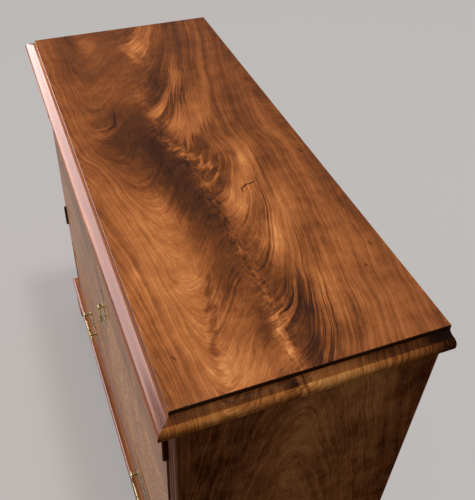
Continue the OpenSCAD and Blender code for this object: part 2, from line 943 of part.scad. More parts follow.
module lock_bolt() {
  box([0, bolt_l], [-bolt_t/2, bolt_t/2], [-bolt_w/2, bolt_w/2]);
}

module at_door_lock() {
  translate([x_meet, lock_y, lock_z]) children();
}

module door_lock_case() {
  color(BRASS) at_door_lock() lock_case();
}

module door_lock_bolt() {
  color(STEEL) at_door_lock() lock_bolt();
}

// Outline of the pull's plate, one lobe below another on both sides of the middle
module pull_plate_shape() {
  lobes = [[0, plate_lobe_r], [0.33, 0.62*plate_lobe_r], [0.54, 0.5*plate_lobe_r],
           [0.74, 0.42*plate_lobe_r], [0.89, 0.28*plate_lobe_r], [0.97, 0.16*plate_lobe_r]];
  waist = 0.26*plate_lobe_r;
  difference() {
    union() {
      for (l = lobes, s = [-1, 1]) translate([0, s*l[0]*plate_half_l]) circle(r = l[1]);
      translate([-waist, -0.9*plate_half_l]) square([2*waist, 1.8*plate_half_l]);
    }
    for (s = [-1, 1]) translate([0, s*0.54*plate_half_l]) circle(r = 0.24*plate_lobe_r);
    for (s = [-1, 1]) translate([0, s*0.74*plate_half_l]) circle(r = 0.18*plate_lobe_r);
  }
}

module door_pull_plate() {
  color(BRASS) difference() {
    translate([plate_x, 0, plate_z]) upright_plate(y_door, plate_t) pull_plate_shape();
    bar_y(shank_r + hole_fit, plate_x, [y_door - plate_t - eps, y_door + eps], pull_z);
    translate([plate_x, 0, key_z]) keyhole([y_door - plate_t - eps, y_door + eps]);
  }
}

// Post with a fork for the drop, its pin, and the nut inside the door
module door_pull_post() {
  fork = eye_w/2 + turn_gap;
  root_y = pull_y + eye_r + turn_gap;
  color(BRASS) translate([plate_x, 0, pull_z]) {
    difference() {
      union() {
        bar_y(shank_r, 0, [y_door - plate_t, y_door_in + nut_t], 0);
        bar_y(collar_r, 0, [y_door - plate_t - collar_t, y_door - plate_t], 0);
        box([-fork - ear_t, fork + ear_t], [pull_y, y_door - plate_t],
            [-eye_r, eye_r]);
        bar_x(eye_r, [-fork - ear_t, fork + ear_t], pull_y, 0);
      }
      box([-fork, fork], [pull_y - eye_r - eps, root_y], [-eye_r - eps, eye_r + eps]);
    }
    bar_x(eye_pin_r, [-fork, fork], pull_y, 0);
    nut(y_door_in);
  }
}

// A nut on a shank at the origin, from y backward
module nut(y) {
  difference() {
    bar_y(nut_r, 0, [y, y + nut_t], 0);
    bar_y(shank_r + pin_fit, 0, [y - eps, y + nut_t + eps], 0);
  }
}

// Section of the drop: outward from its own axis, and down as minus
function drop_section() = concat(
  [[0, 0], [stem_r, 0], [stem_r, -0.3*drop_l], [1.5*stem_r, -0.34*drop_l],
   [stem_r, -0.38*drop_l], [stem_r, -0.5*drop_l]],
  arc_points(0, drop_r - drop_l, drop_r, drop_r, 35, -90)
);

module door_pull_drop() {
  color(BRASS) translate([plate_x, pull_y, pull_z]) difference() {
    union() {
      rotate_extrude() polygon(drop_section());
      bar_x(eye_r, [-eye_w/2, eye_w/2], 0, 0);
    }
    bar_x(eye_pin_r + pin_fit, [-eye_w, eye_w], 0, 0);
  }
}

// Drawer
module bead_strips() {
  y = [y_draw - bead_proud + bead_w/2, y_draw + bead_in];
  nose_y = y[0];
  for (z = [draw_z0, draw_z1 - bead_w]) union() {
    box([-x_leaf, x_leaf], y, [z, z + bead_w]);
    bar_x(bead_w/2, [-x_leaf, x_leaf], nose_y, z + bead_w/2);
  }
  both_sides() union() {
    box([x_leaf - bead_w, x_leaf], y, [draw_z0 + bead_w, draw_z1 - bead_w]);
    bar_z(bead_w/2, x_leaf - bead_w/2, nose_y, [draw_z0 + bead_w, draw_z1 - bead_w]);
  }
}

module drawer_bead() {
  color(MAHOGANY) bead_strips();
}

module drawer_front() {
  color(MAHOGANY_FACE) difference() {
    union() {
      box([-x_leaf + bead_w, x_leaf - bead_w], [y_draw, y_lap],
          [draw_z0 + bead_w, draw_z1 - bead_w]);
      box([-x_leaf, x_leaf], [y_lap, y_draw_in], [draw_z0, draw_z1]);
    }
    both_sides() box([x_leaf - side_t, x_leaf + eps], [y_lap, y_draw_in + eps],
                     [draw_z0 - eps, side_z1]);
    both_sides() for (s = [-1, 1])
      bar_y(shank_r + hole_fit, handle_x + s*handle_half, [y_draw - eps, y_draw_in + eps],
            draw_mid);
    box([-case_w/2, case_w/2], [y_draw_in - case_t, y_draw_in + eps],
        [draw_z1 - case_l, draw_z1 + eps]);
    translate([0, 0, draw_z1 - case_l/2]) keyhole([y_draw - eps, y_draw_in]);
    box([-bolt_w/2 - bolt_fit, bolt_w/2 + bolt_fit],
        [drawer_lock_y - bolt_t/2 - bolt_fit, drawer_lock_y + bolt_t/2 + bolt_fit],
        [draw_z1 - case_l, draw_z1 + eps]);
  }
}

module drawer_sides() {
  color(OAK) both_sides()
    box([x_leaf - side_t, x_leaf], [y_lap, y_draw_end], [draw_z0, side_z1]);
}

module drawer_back() {
  color(OAK) box([side_t - x_leaf, x_leaf - side_t], [y_draw_end - side_t, y_draw_end],
                 [bottom_z1, side_z1 - back_drop]);
}

module drawer_bottom() {
  color(OAK) box([side_t - x_leaf, x_leaf - side_t], [y_draw_in, y_draw_end],
                 [bottom_z0, bottom_z1]);
}

// The drawer's lock stands upright: its bolt shoots up into the divider rail
module at_drawer_lock() {
  translate([0, drawer_lock_y, draw_z1]) rotate([0, 90, 0]) children();
}

module drawer_lock_case() {
  color(BRASS) at_drawer_lock() lock_case();
}

module drawer_lock_bolt() {
  color(STEEL) at_drawer_lock() lock_bolt();
}

// Pierced plate behind a handle: a middle lobe, a lobe at each post and smaller lobes between
module handle_plate_shape() {
  lobe = 0.28*post_span;
  difference() {
    union() {
      circle(r = lobe);
      translate([0, 0.95*lobe]) circle(r = 0.42*lobe);
      translate([0, -0.95*lobe]) circle(r = 0.5*lobe);
      for (s = [-1, 1]) {
        translate([s*handle_half, 0]) circle(r = 0.6*lobe);
        translate([s*0.62*handle_half, 0.42*lobe]) circle(r = 0.5*lobe);
        translate([s*0.62*handle_half, -0.42*lobe]) circle(r = 0.5*lobe);
        translate([s*(handle_half + 0.62*lobe), 0]) circle(r = 0.22*lobe);
      }
    }
    circle(r = 0.24*lobe);
    for (s = [-1, 1], t = [-1, 1]) {
      translate([s*0.36*lobe, t*0.5*lobe]) circle(r = 0.15*lobe);
      translate([s*0.62*handle_half, t*0.5*lobe]) circle(r = 0.16*lobe);
    }
    for (s = [-1, 1]) {
      translate([s*0.58*lobe, 0]) circle(r = 0.17*lobe);
      translate([s*handle_half, 0]) circle(r = shank_r + hole_fit);
    }
  }
}

module handle_plates() {
  color(BRASS) both_sides() translate([handle_x, 0, draw_mid])
    upright_plate(y_draw, plate_t) handle_plate_shape();
}

// A post with a ball that the bail's pivot turns in, and its nut inside the drawer
module handle_post() {
  difference() {
    union() {
      translate([0, handle_y, 0]) rotate([0, 0, -90]) sphere(r = ball_r);
      bar_y(neck_r, 0, [handle_y, y_draw - plate_t], 0);
    }
    bar_x(bail_pin_r + pin_fit, [-ball_r - eps, ball_r + eps], handle_y, 0);
  }
  bar_y(collar_r, 0, [y_draw - plate_t - collar_t, y_draw - plate_t], 0);
  bar_y(shank_r, 0, [y_draw - plate_t, y_draw_in + nut_t], 0);
  nut(y_draw_in);
}

module handle_posts() {
  color(BRASS) both_sides() for (s = [-1, 1])
    translate([handle_x + s*handle_half, 0, draw_mid]) handle_post();
}

// A quarter of a ring in the plane of the bail, from the right side up, or down with way = 1
module bend(x, z, r, way) {
  translate([x, 0, z]) mirror([0, 0, way]) rotate([90, 0, 0])
    rotate_extrude(angle = 90) translate([r, 0]) circle(r = bail_r);
}

// Swan-neck bail, hanging from its axis along X at the origin
module bail() {
  neck_x = handle_half + ball_r + neck_gap;
  out_x = neck_x + neck_bend_r;
  low_z = -neck_bend_r - neck_drop;
  low_x = out_x - low_bend_r;
  grip_z = low_z - low_bend_r;
  grip_l = norm([low_x, grip_rise]);
  both_sides() {
    bar_x(bail_pin_r, [handle_half - ball_r/2, neck_x], 0, 0);
    bend(neck_x, -neck_bend_r, neck_bend_r, 0);
    bar_z(bail_r, out_x, 0, [low_z, -neck_bend_r]);
    bend(low_x, low_z, low_bend_r, 1);
    translate([low_x, 0, grip_z]) {
      rotate([0, 0, -90]) sphere(r = grip_knot_r);
      rotate([0, -atan2(low_x, grip_rise), 0]) cylinder(r = bail_r, h = grip_l);
    }
  }
  translate([0, 0, grip_z + grip_rise]) rotate([0, 0, -90]) sphere(r = grip_bead_r);
}

module bail_right() {
  color(BRASS) translate([handle_x, handle_y, draw_mid]) bail();
}

module bail_left() {
  mirror([1, 0, 0]) bail_right();
}

top_board();
top_moulding_front();
top_moulding_left();
top_moulding_right();
top_lining();
end_panel_left();
end_panel_right();
corner_stile_left();
corner_stile_right();
top_rail();
divider_rail();
bottom_rail();
dust_board();
bottom_board();
back_boards();
shelf_upper();
shelf_lower();
shelf_bearers();
drawer_runners();
drawer_stops();
base_moulding_front();
base_moulding_left();
base_moulding_right();
foot_front_left();
foot_front_right();
foot_back_left();
foot_back_right();
hinge_leaves_carcass();
hinge_pins();
hinge_screws_carcass();
door_left_frame();
door_left_panel();
door_left_veneer();
door_left_hinge_leaves();
door_left_screws();
door_left_bolt_cases();
door_bolt_upper();
door_bolt_lower();
door_right_frame();
door_right_panel();
door_right_veneer();
door_right_hinge_leaves();
door_right_screws();
door_lock_case();
door_lock_bolt();
door_pull_plate();
door_pull_post();
door_pull_drop();
drawer_front();
drawer_bead();
drawer_sides();
drawer_back();
drawer_bottom();
drawer_lock_case();
drawer_lock_bolt();
handle_plates();
handle_posts();
bail_left();
bail_right();
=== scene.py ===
import json
import math
from collections import namedtuple

import bpy
from mathutils import Matrix, Vector

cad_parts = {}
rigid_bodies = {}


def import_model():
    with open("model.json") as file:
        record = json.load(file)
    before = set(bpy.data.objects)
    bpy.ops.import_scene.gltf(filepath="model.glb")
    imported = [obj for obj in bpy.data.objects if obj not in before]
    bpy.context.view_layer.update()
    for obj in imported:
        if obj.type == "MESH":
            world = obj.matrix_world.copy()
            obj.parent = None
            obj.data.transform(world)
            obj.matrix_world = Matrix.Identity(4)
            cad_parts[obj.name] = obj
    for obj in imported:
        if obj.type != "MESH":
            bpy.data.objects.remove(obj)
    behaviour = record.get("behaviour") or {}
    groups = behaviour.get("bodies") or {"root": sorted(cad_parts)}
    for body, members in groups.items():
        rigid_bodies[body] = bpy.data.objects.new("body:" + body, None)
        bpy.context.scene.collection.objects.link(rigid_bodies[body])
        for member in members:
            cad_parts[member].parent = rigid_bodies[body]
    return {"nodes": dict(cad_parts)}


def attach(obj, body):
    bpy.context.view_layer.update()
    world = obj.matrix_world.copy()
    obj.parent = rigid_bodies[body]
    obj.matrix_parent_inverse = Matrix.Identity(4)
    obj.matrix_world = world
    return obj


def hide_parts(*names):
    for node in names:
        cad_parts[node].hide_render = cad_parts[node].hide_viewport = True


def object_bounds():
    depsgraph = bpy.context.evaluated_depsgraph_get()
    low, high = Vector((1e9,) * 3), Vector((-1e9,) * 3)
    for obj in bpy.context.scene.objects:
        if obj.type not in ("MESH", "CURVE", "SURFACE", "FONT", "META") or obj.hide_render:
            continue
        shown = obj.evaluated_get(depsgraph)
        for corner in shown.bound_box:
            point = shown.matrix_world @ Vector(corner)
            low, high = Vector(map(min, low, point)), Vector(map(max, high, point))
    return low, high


# A low mahogany cabinet: the finish of every piece, the mouldings with their true curves, a pale
# floor and soft light. Places are metres; patterns, edges and mouldings are given in millimetres.
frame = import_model()
cad_low, cad_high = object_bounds()
scene = bpy.context.scene
scene.view_settings.view_transform = "Standard"

# The camera stands above the front right corner and looks down along the top.
EYE_PLACE = (1.0178, -0.3324, 1.7382)
EYE_LOOK = (-0.690362, 0.273343, -0.669839)
EYE_LEAN = 1.755
eye = bpy.data.cameras.new("eye")
eye.sensor_width = 36
eye.lens = 47.815
eye.shift_x = 0.0401
eye.shift_y = -0.0443
eye.clip_start = 0.05
eye.clip_end = 60
camera = bpy.data.objects.new("camera", eye)
scene.collection.objects.link(camera)
turn = Vector(EYE_LOOK).to_track_quat("-Z", "Y").to_matrix().to_4x4()
lean = Matrix.Rotation(math.radians(EYE_LEAN), 4, "Z")
camera.matrix_world = Matrix.Translation(EYE_PLACE) @ turn @ lean
scene.camera = camera


def linear(colour):
    """A #rrggbb colour as the linear numbers that a shader takes."""
    parts = [int(colour[i:i + 2], 16) / 255 for i in (1, 3, 5)]
    return [p / 12.92 if p <= 0.04045 else ((p + 0.055) / 1.055) ** 2.4 for p in parts] + [1.0]


def add(tree, kind, values, out=0):
    """Adds a node. A name in lower case is one of its settings; a number or a capital is an input."""
    node = tree.nodes.new(kind)
    for key, value in values.items():
        if isinstance(key, str) and key[0].islower():
            setattr(node, key, value)
        elif isinstance(value, bpy.types.NodeSocket):
            tree.links.new(value, node.inputs[key])
        else:
            node.inputs[key].default_value = value
    return node.outputs[out] if len(node.outputs) else node


def toned(tree, tone, stops):
    """Turns a tone, dark at 0 and light at 1, into a colour through (tone, colour) stops."""
    band = add(tree, "ShaderNodeValToRGB", {"Fac": tone})
    elements = band.node.color_ramp.elements
    for place, colour in stops[1:-1]:
        elements.new(place)
    for element, (place, colour) in zip(elements, stops):
        element.position = place
        element.color = linear(colour)
    return band


def curve(tree, value, points, bottom, top):
    """A smooth curve through (value, result) points, whose results lie between bottom and top."""
    low, high = points[0][0], points[-1][0]
    inside = add(tree, "ShaderNodeMapRange", {"Value": value, "From Min": low, "From Max": high})
    bent = add(tree, "ShaderNodeFloatCurve", {"Value": inside})
    track = bent.node.mapping.curves[0].points
    for _ in points[1:-1]:
        track.new(0.5, 0.5)
    for point, (x, y) in zip(track, points):
        point.location = ((x - low) / (high - low), (y - bottom) / (top - bottom))
    bent.node.mapping.update()
    return add(tree, "ShaderNodeMapRange", {"Value": bent, "To Min": bottom, "To Max": top})


def new_material(name):
    """An empty material; returns it and its tree."""
    material = bpy.data.materials.new(name)
    material.use_nodes = True
    material.node_tree.nodes.clear()
    return material, material.node_tree


def placed(tree, turn, shift=(0, 0, 0)):
    """The piece's own coordinates in metres, moved and turned so that the grain runs along X."""
    here = add(tree, "ShaderNodeTexCoord", {}, "Object")
    return add(tree, "ShaderNodeMapping", {
        "Vector": here, "Location": shift, "Rotation": [math.radians(a) for a in turn]})


def streaks(tree, flow, across, along, detail, seed):
    """Noise drawn out along a veneer's figure: across and along are a streak's sizes in mm."""
    drawn = add(tree, "ShaderNodeMapping", {
        "Vector": flow, "Location": (seed, seed * 0.7, seed * 1.3),
        "Scale": (1000 / across, 1000 / along, 1000 / along)})
    return add(tree, "ShaderNodeTexNoise", {
        "Vector": drawn, "Scale": 1.0, "Detail": detail, "Roughness": 0.55})


def straight_grain(tree, flow, across, along, detail, shift=(0, 0, 0)):
    """Noise drawn out along a board's length: across and along are its sizes in mm."""
    drawn = add(tree, "ShaderNodeMapping", {
        "Vector": flow, "Location": shift,
        "Scale": (1000 / across, 1000 / along, 1000 / across)})
    return add(tree, "ShaderNodeTexNoise", {"Vector": drawn, "Scale": 1.0, "Detail": detail})


def mix_in(tree, base, extra, amount):
    """base + amount * (extra - 0.5), as a number."""
    centred = add(tree, "ShaderNodeMath", {
        "operation": "MULTIPLY_ADD", 0: extra, 1: amount, 2: -amount / 2})
    return add(tree, "ShaderNodeMath", {"operation": "ADD", 0: base, 1: centred})


# A patch has about half its strength at its stated size, which is SPOT_FADE of the way to where it
# ends. SPOT_DEPTH, in metres, reaches through any board.
SPOT_FADE = 0.6
SPOT_DEPTH = 10


def patches(tree, place, spots):
    """Lighter and darker areas: each spot is x, y, half length, half width in mm, angle and amount."""
    total = 0.0
    for x, y, long_, wide, angle, amount in spots:
        local = add(tree, "ShaderNodeMapping", {
            "vector_type": "TEXTURE", "Vector": place, "Location": (x / 1000, y / 1000, 0),
            "Rotation": (0, 0, math.radians(angle)),
            "Scale": (long_ / 1000 / SPOT_FADE, wide / 1000 / SPOT_FADE, SPOT_DEPTH)})
        spot = add(tree, "ShaderNodeTexGradient", {"gradient_type": "SPHERICAL", "Vector": local})
        spot = add(tree, "ShaderNodeMapRange", {
            "interpolation_type": "SMOOTHSTEP", "Value": spot, "From Max": 0.75})
        total = add(tree, "ShaderNodeMath", {
            "operation": "MULTIPLY_ADD", 0: spot, 1: amount, 2: total})
    return total


def polish(tree, material, colour, pores, roughness, bump, coat=0.0, shine=0.5, dull=None):
    """French polish over open-pored wood: a thin clear skin in which the pores just show."""
    rough = add(tree, "ShaderNodeMapRange", {
        "Value": pores, "To Min": roughness + 0.12, "To Max": roughness})
    dents = add(tree, "ShaderNodeBump", {"Height": pores, "Strength": bump, "Distance": 0.0002})
    skin = add(tree, "ShaderNodeBsdfPrincipled", {
        "Base Color": colour, "Roughness": rough, "Normal": dents, "IOR": 1.5,
        "Specular IOR Level": shine, "Coat Weight": coat, "Coat Roughness": 0.22})
    if dull is not None:
        worn = add(tree, "ShaderNodeBsdfPrincipled", {
            "Base Color": colour, "Roughness": 0.6, "Normal": dents, "Specular IOR Level": 0.0})
        skin = add(tree, "ShaderNodeMixShader", {0: dull, 1: skin, 2: worn})
    add(tree, "ShaderNodeOutputMaterial", {"Surface": skin})
    return material


# Tones of each wood, from its dark streaks to its light ones
TOP_TONES = [(0.0, "#34170a"), (0.2, "#522a11"), (0.38, "#713b18"), (0.52, "#8b4e24"),
             (0.68, "#a45f30"), (0.84, "#bd753e"), (1.0, "#d79155")]
END_TONES = [(0.0, "#220d06"), (0.3, "#47210f"), (0.5, "#703d20"), (0.7, "#915730"),
             (1.0, "#ba7c4a")]
RETURN_TONES = [(0.0, "#24110a"), (0.3, "#5c3116"), (0.5, "#895126"), (0.7, "#aa6b36"),
                (1.0, "#d69c5c")]
DOOR_TONES = [(0.0, "#3c2010"), (0.3, "#6e4426"), (0.5, "#8f5e38"), (0.7, "#ab784b"),
              (1.0, "#cc9c66")]
PLAIN_TONES = [(0.0, "#2a1109"), (0.3, "#4f2412"), (0.55, "#75391b"), (0.78, "#925026"),
               (1.0, "#b06c38")]
DRAWER_TONES = [(0.0, "#3e2114"), (0.3, "#673c27"), (0.55, "#825036"), (0.78, "#9b6645"),
                (1.0, "#b67e58")]
STILE_TONES = [(0.0, "#1c0d06"), (0.3, "#3c1e10"), (0.55, "#5e3319"), (0.78, "#7d4926"),
               (1.0, "#9c6236")]
FRONT_TONES = [(0.0, "#321710"), (0.3, "#552a1a"), (0.55, "#713c25"), (0.78, "#8c5030"),
               (1.0, "#ab6a40")]
# Painted light: paler tones for the lit lower edge of the front moulding
LIT_EDGE_TONES = [(0.0, "#5a2c16"), (0.3, "#8a4c2a"), (0.55, "#ad6a40"), (0.78, "#c58352"),
                (1.0, "#dca070")]
# Painted shade: near-black tones for the crease under the top's edge at the ends
CREASE_SHADE_TONES = [(0.0, "#150b05"), (0.4, "#2a180c"), (0.7, "#3f2614"), (1.0, "#5a3a20")]
OAK_TONES = [(0.3, "#7f5f3f"), (0.5, "#a07c52"), (0.75, "#ba976c")]
PINE_TONES = [(0.3, "#7a5833"), (0.5, "#9a7444"), (0.75, "#b58f5c")]

# Metres within which a spine may wander, and the streaks may bend back
SPINE_REACH = (-0.06, 0.06)
BEND_REACH = (-0.15, 1.15)
# The line of the spine in a leaf of crotch veneer: how far it wanders, at a distance along it
TOP_SPINE = [(-0.6, -0.005), (-0.43, -0.012), (-0.25, -0.030), (-0.06, -0.036), (0.03, -0.012),
             (0.12, -0.004), (0.40, -0.006), (0.6, -0.022)]
END_SPINE = [(-0.6, 0.0), (-0.3, 0.01), (0.0, -0.01), (0.3, 0.01), (0.6, 0.0)]

# How far the streaks bend back along the spine, at a distance across it
TOP_BEND = [(-0.24, 0.70), (-0.19, 0.48), (-0.16, 0.22), (-0.14, 0.03), (-0.12, -0.085),
            (-0.10, -0.10), (-0.06, -0.055), (-0.03, -0.015), (0.0, 0.0), (0.025, 0.014),
            (0.05, 0.055), (0.08, 0.15), (0.12, 0.34), (0.17, 0.63), (0.24, 1.10)]
END_BEND = [(-0.24, 1.1), (-0.12, 0.42), (-0.04, 0.08), (0.0, 0.0), (0.04, 0.08), (0.12, 0.42),
            (0.24, 1.1)]
DOOR_BEND = [(-0.24, 0.5), (-0.12, 0.14), (-0.04, 0.02), (0.0, 0.0), (0.04, 0.02), (0.12, 0.14),
             (0.24, 0.5)]

# How strongly the figure shows, at a distance across the spine
TOP_FIGURE = [(-0.24, 1.2), (-0.17, 1.2), (-0.10, 0.8), (-0.04, 0.6), (0.0, 0.9), (0.04, 1.0),
              (0.11, 1.1), (0.17, 1.1), (0.24, 1.1)]
EVEN_FIGURE = [(-0.24, 0.8), (0.24, 0.8)]
# Where the thin dark lines lie, at a distance across the spine
LINE_FIGURE = [(-0.24, 0), (-0.13, 0.6), (-0.08, 0.15), (0.0, 0.0), (0.04, 1.0), (0.10, 1.0),
               (0.14, 0.1), (0.24, 0.1)]

# The top's pale curls, the dark field in front of its spine, its strands and its broad shades
TOP_SPOTS = [
    (-490, 42, 85, 17, -25, 0.26), (-428, 16, 28, 18, -40, 0.22), (-390, -1, 34, 7, 18, 0.22),
    (-214, 29, 120, 13, -32, 0.24), (-146, -18, 24, 18, -40, 0.24), (-112, 34, 100, 26, -32, 0.17),
    (-84, 6, 32, 24, -40, 0.12), (-58, 34, 90, 11, -40, 0.22), (22, -2, 66, 8, 30, 0.30),
    (112, 74, 100, 26, -22, 0.34), (262, 92, 130, 30, -20, 0.20), (300, 60, 90, 22, -26, 0.16),
    (440, 80, 90, 24, -22, 0.22), (176, 22, 30, 24, 0, 0.18), (440, -2, 40, 12, -25, 0.2),
    (-480, -97, 55, 24, 0, 0.13), (-106, -140, 26, 13, -30, 0.20), (320, -120, 240, 55, 2, 0.14),
    (520, -75, 30, 60, 0, 0.20), (66, -130, 160, 30, 6, -0.02), (-330, -60, 120, 40, -8, 0.05),
    (-33, -86, 130, 62, -4, -0.25), (77, -38, 130, 40, 4, -0.15), (240, -42, 175, 46, 2, -0.22),
    (420, -102, 90, 6, -14, -0.22), (380, -60, 60, 6, -38, -0.2), (440, 16, 46, 6, -48, 0.22),
    (404, -8, 30, 8, -30, 0.2), (500, -14, 44, 7, 8, 0.2), (-12, 16, 66, 26, -40, -0.14),
    (104, 36, 70, 18, -30, -0.22), (-222, 2, 66, 20, -30, -0.12), (-160, 24, 70, 10, -35, -0.22),
    (473, 32, 66, 24, -30, -0.17), (374, 18, 60, 18, -30, -0.20), (-300, 30, 120, 14, -20, -0.16),
    (-473, -141, 130, 28, 0, -0.16), (77, 124, 230, 26, -6, -0.09), (300, 180, 220, 60, 0, 0.05),
    (0, 222, 640, 16, 0, -0.10), (-545, 60, 14, 170, 0, -0.10), (-430, 120, 160, 22, -8, -0.08),
    (-420, 60, 300, 300, 0, -0.10), (-110, -100, 110, 60, 0, -0.06), (330, -150, 280, 90, 0, 0.11),
    (60, 10, 200, 60, 0, -0.05), (490, 150, 110, 90, 0, 0.06), (-380, -40, 160, 60, 0, -0.05),
    (450, 20, 120, 30, 0, -0.08), (430, 52, 46, 12, -28, -0.22), (505, 58, 44, 13, -22, -0.24),
    (535, 18, 40, 10, -15, -0.22), (470, 8, 40, 8, -30, -0.16), (500, -38, 60, 12, -6, -0.12)]
# Old cracks and knocks in the polish of the top
TOP_MARKS = [
    (139, 77, 9, 1.6, -75, -0.5), (144, 63, 8, 1.6, -55, -0.5), (153, 55, 7, 1.4, -15, -0.4),
    (-146, -108, 24, 1.8, -18, -0.45), (-120, -121, 9, 1.8, -50, -0.35), (78, 214, 6, 2, 20, -0.3),
    (392, 178, 4, 2, 0, -0.3), (350, 206, 5, 1.5, 10, -0.3), (470, -176, 5, 2, 30, -0.25)]
# Light and dark stretches along the mouldings at the ends
RETURN_SPOTS = [
    (560, -130, 60, 90, 0, 0.16), (560, -30, 60, 16, 0, -0.26), (560, 20, 60, 60, 0, 0.30),
    (560, 130, 60, 50, 0, 0.04), (560, 215, 60, 24, 0, -0.3)]
# The end panels are paler up their middle and darker toward the back
END_SPOTS = [
    (1200, 60, 620, 150, 0, 0.26), (1380, 20, 120, 40, 15, 0.16), (1420, 110, 90, 30, -10, 0.14),
    (1300, 90, 60, 26, 30, -0.12), (1440, 50, 70, 18, -20, -0.12),
    (1200, -160, 620, 60, 0, -0.02), (1200, 215, 620, 40, 0, -0.12)]

# A leaf of crotch veneer: a point's place on it, how far along its spine and off it that lies,
# how far along the bent streaks, and the coordinates and seed that draw its streaks
Leaf = namedtuple("Leaf", "place along off swept flow seed")


def quartered(tree, turn, shift, joint, tone):
    """Mirrors the leaf at a joint at that height. Painted shade darkens the leaves above it, which
    catch the light less.
    """
    parts = add(tree, "ShaderNodeTexCoord", {}, "Object")
    parts = add(tree, "ShaderNodeSeparateXYZ", {0: parts}).node.outputs
    above = add(tree, "ShaderNodeMath", {"operation": "SUBTRACT", 0: parts[2], 1: joint})
    away = add(tree, "ShaderNodeMath", {"operation": "ABSOLUTE", 0: above})
    below = add(tree, "ShaderNodeMath", {"operation": "MULTIPLY", 0: away, 1: -1.0})
    place = add(tree, "ShaderNodeCombineXYZ", {0: parts[0], 1: parts[1], 2: below})
    place = add(tree, "ShaderNodeMapping", {
        "Vector": place, "Location": shift, "Rotation": [math.radians(a) for a in turn]})
    # The glue line is about 3 mm of darker wood.
    seam = add(tree, "ShaderNodeMapRange", {
        "Value": away, "From Min": 0.0022, "From Max": 0.0008, "To Max": -0.3})
    # Painted shade: the leaves above the joint are painted darker.
    shade = add(tree, "ShaderNodeMapRange", {
        "Value": above, "From Min": 0.0, "From Max": 0.002, "To Max": -0.14})
    tone = add(tree, "ShaderNodeMath", {"operation": "ADD", 0: shade, 1: tone})
    tone = add(tree, "ShaderNodeMath", {"operation": "ADD", 0: seam, 1: tone})
    return place, tone


def leaf_of(tree, place, spine, bend, seed):
    """Lays the figure on a leaf, stirred by up to 11 mm in swirls of about 110 mm."""
    stir = add(tree, "ShaderNodeTexNoise", {"Vector": place, "Scale": 9.0, "Detail": 2.0}, 1)
    stir = add(tree, "ShaderNodeVectorMath", {"operation": "SUBTRACT", 0: stir, 1: (0.5, 0.5, 0.5)})
    stir = add(tree, "ShaderNodeVectorMath", {"operation": "SCALE", 0: stir, "Scale": 0.022})
    place = add(tree, "ShaderNodeVectorMath", {"operation": "ADD", 0: place, 1: stir})
    split = add(tree, "ShaderNodeSeparateXYZ", {0: place}).node.outputs
    line = curve(tree, split[0], spine, *SPINE_REACH)
    off = add(tree, "ShaderNodeMath", {"operation": "SUBTRACT", 0: split[1], 1: line})
    swept = curve(tree, off, bend, *BEND_REACH)
    swept = add(tree, "ShaderNodeMath", {"operation": "ADD", 0: split[0], 1: swept})
    flow = add(tree, "ShaderNodeCombineXYZ", {0: swept, 1: off, 2: seed})
    return Leaf(place, split[0], off, swept, flow, seed)


def feathered(tree, leaf, spots):
    """Lighter and darker areas whose edges the streaks draw out into feathers."""
    comb = mix_in(tree, streaks(tree, leaf.flow, 16, 200, 2.0, leaf.seed + 1),
                  streaks(tree, leaf.flow, 5, 120, 1.0, leaf.seed + 2), 0.5)
    comb = add(tree, "ShaderNodeMath", {"operation": "MULTIPLY_ADD", 0: comb, 1: 0.13, 2: -0.065})
    comb = add(tree, "ShaderNodeCombineXYZ", {0: comb})
    ragged = add(tree, "ShaderNodeVectorMath", {"operation": "ADD", 0: leaf.place, 1: comb})
    return patches(tree, ragged, spots)


def broad_streaks(tree, leaf):
    """The figure's bands, 20 to 60 mm apart."""
    bands = mix_in(tree, 0.0, streaks(tree, leaf.flow, 60, 130, 2.0, leaf.seed + 4), 0.5)
    return mix_in(tree, bands, streaks(tree, leaf.flow, 20, 100, 3.0, leaf.seed + 5), 0.36)


def fibres(tree, leaf, mottled):
    """The fibres between the bands, 2 to 6 mm apart, under clouds of 26 and 77 mm."""
    fine = mix_in(tree, 0.0, streaks(tree, leaf.flow, 6, 70, 3.0, leaf.seed + 7), 0.24)
    fine = mix_in(tree, fine, streaks(tree, leaf.flow, 2.2, 26, 3.0, leaf.seed + 9), 0.24)
    fine = mix_in(tree, fine, add(tree, "ShaderNodeTexNoise", {
        "Vector": leaf.place, "Scale": 38.0, "Detail": 4.0, "Roughness": 0.6}), 0.34)
    fine = mix_in(tree, fine, streaks(tree, leaf.flow, 3.5, 7, 2.0, leaf.seed + 15), 0.30)
    if mottled:
        fine = mix_in(tree, fine, streaks(tree, leaf.flow, 22, 8, 2.0, leaf.seed + 21), 0.24)
    return mix_in(tree, fine, add(tree, "ShaderNodeTexNoise", {
        "Vector": leaf.place, "Scale": 13.0, "Detail": 2.0, "Roughness": 0.5}), 0.30)


def turned_flecks(tree, leaf):
    """Flecks of 8 by 18 mm where the fibres turn over, near the spine, most of them at one end."""
    near = add(tree, "ShaderNodeMath", {"operation": "ABSOLUTE", 0: leaf.off})
    near = add(tree, "ShaderNodeMapRange", {
        "interpolation_type": "SMOOTHSTEP", "Value": near, "From Min": 0.02, "From Max": 0.002})
    fleck = add(tree, "ShaderNodeMapping", {"Vector": leaf.place, "Scale": (0.6, 1.4, 1.0)})
    fleck = add(tree, "ShaderNodeTexNoise", {
        "Vector": fleck, "Scale": 90.0, "Detail": 3.0, "Roughness": 0.65, "Distortion": 0.8})
    fleck = add(tree, "ShaderNodeMath", {"operation": "SUBTRACT", 0: fleck, 1: 0.47})
    fleck = add(tree, "ShaderNodeMath", {"operation": "MULTIPLY", 0: fleck, 1: near})
    most = add(tree, "ShaderNodeMapRange", {
        "interpolation_type": "SMOOTHSTEP", "Value": leaf.along, "From Min": -0.35, "From Max": 0.05,
        "To Min": 0.35, "To Max": 1.0})
    return add(tree, "ShaderNodeMath", {"operation": "MULTIPLY", 0: fleck, 1: most})


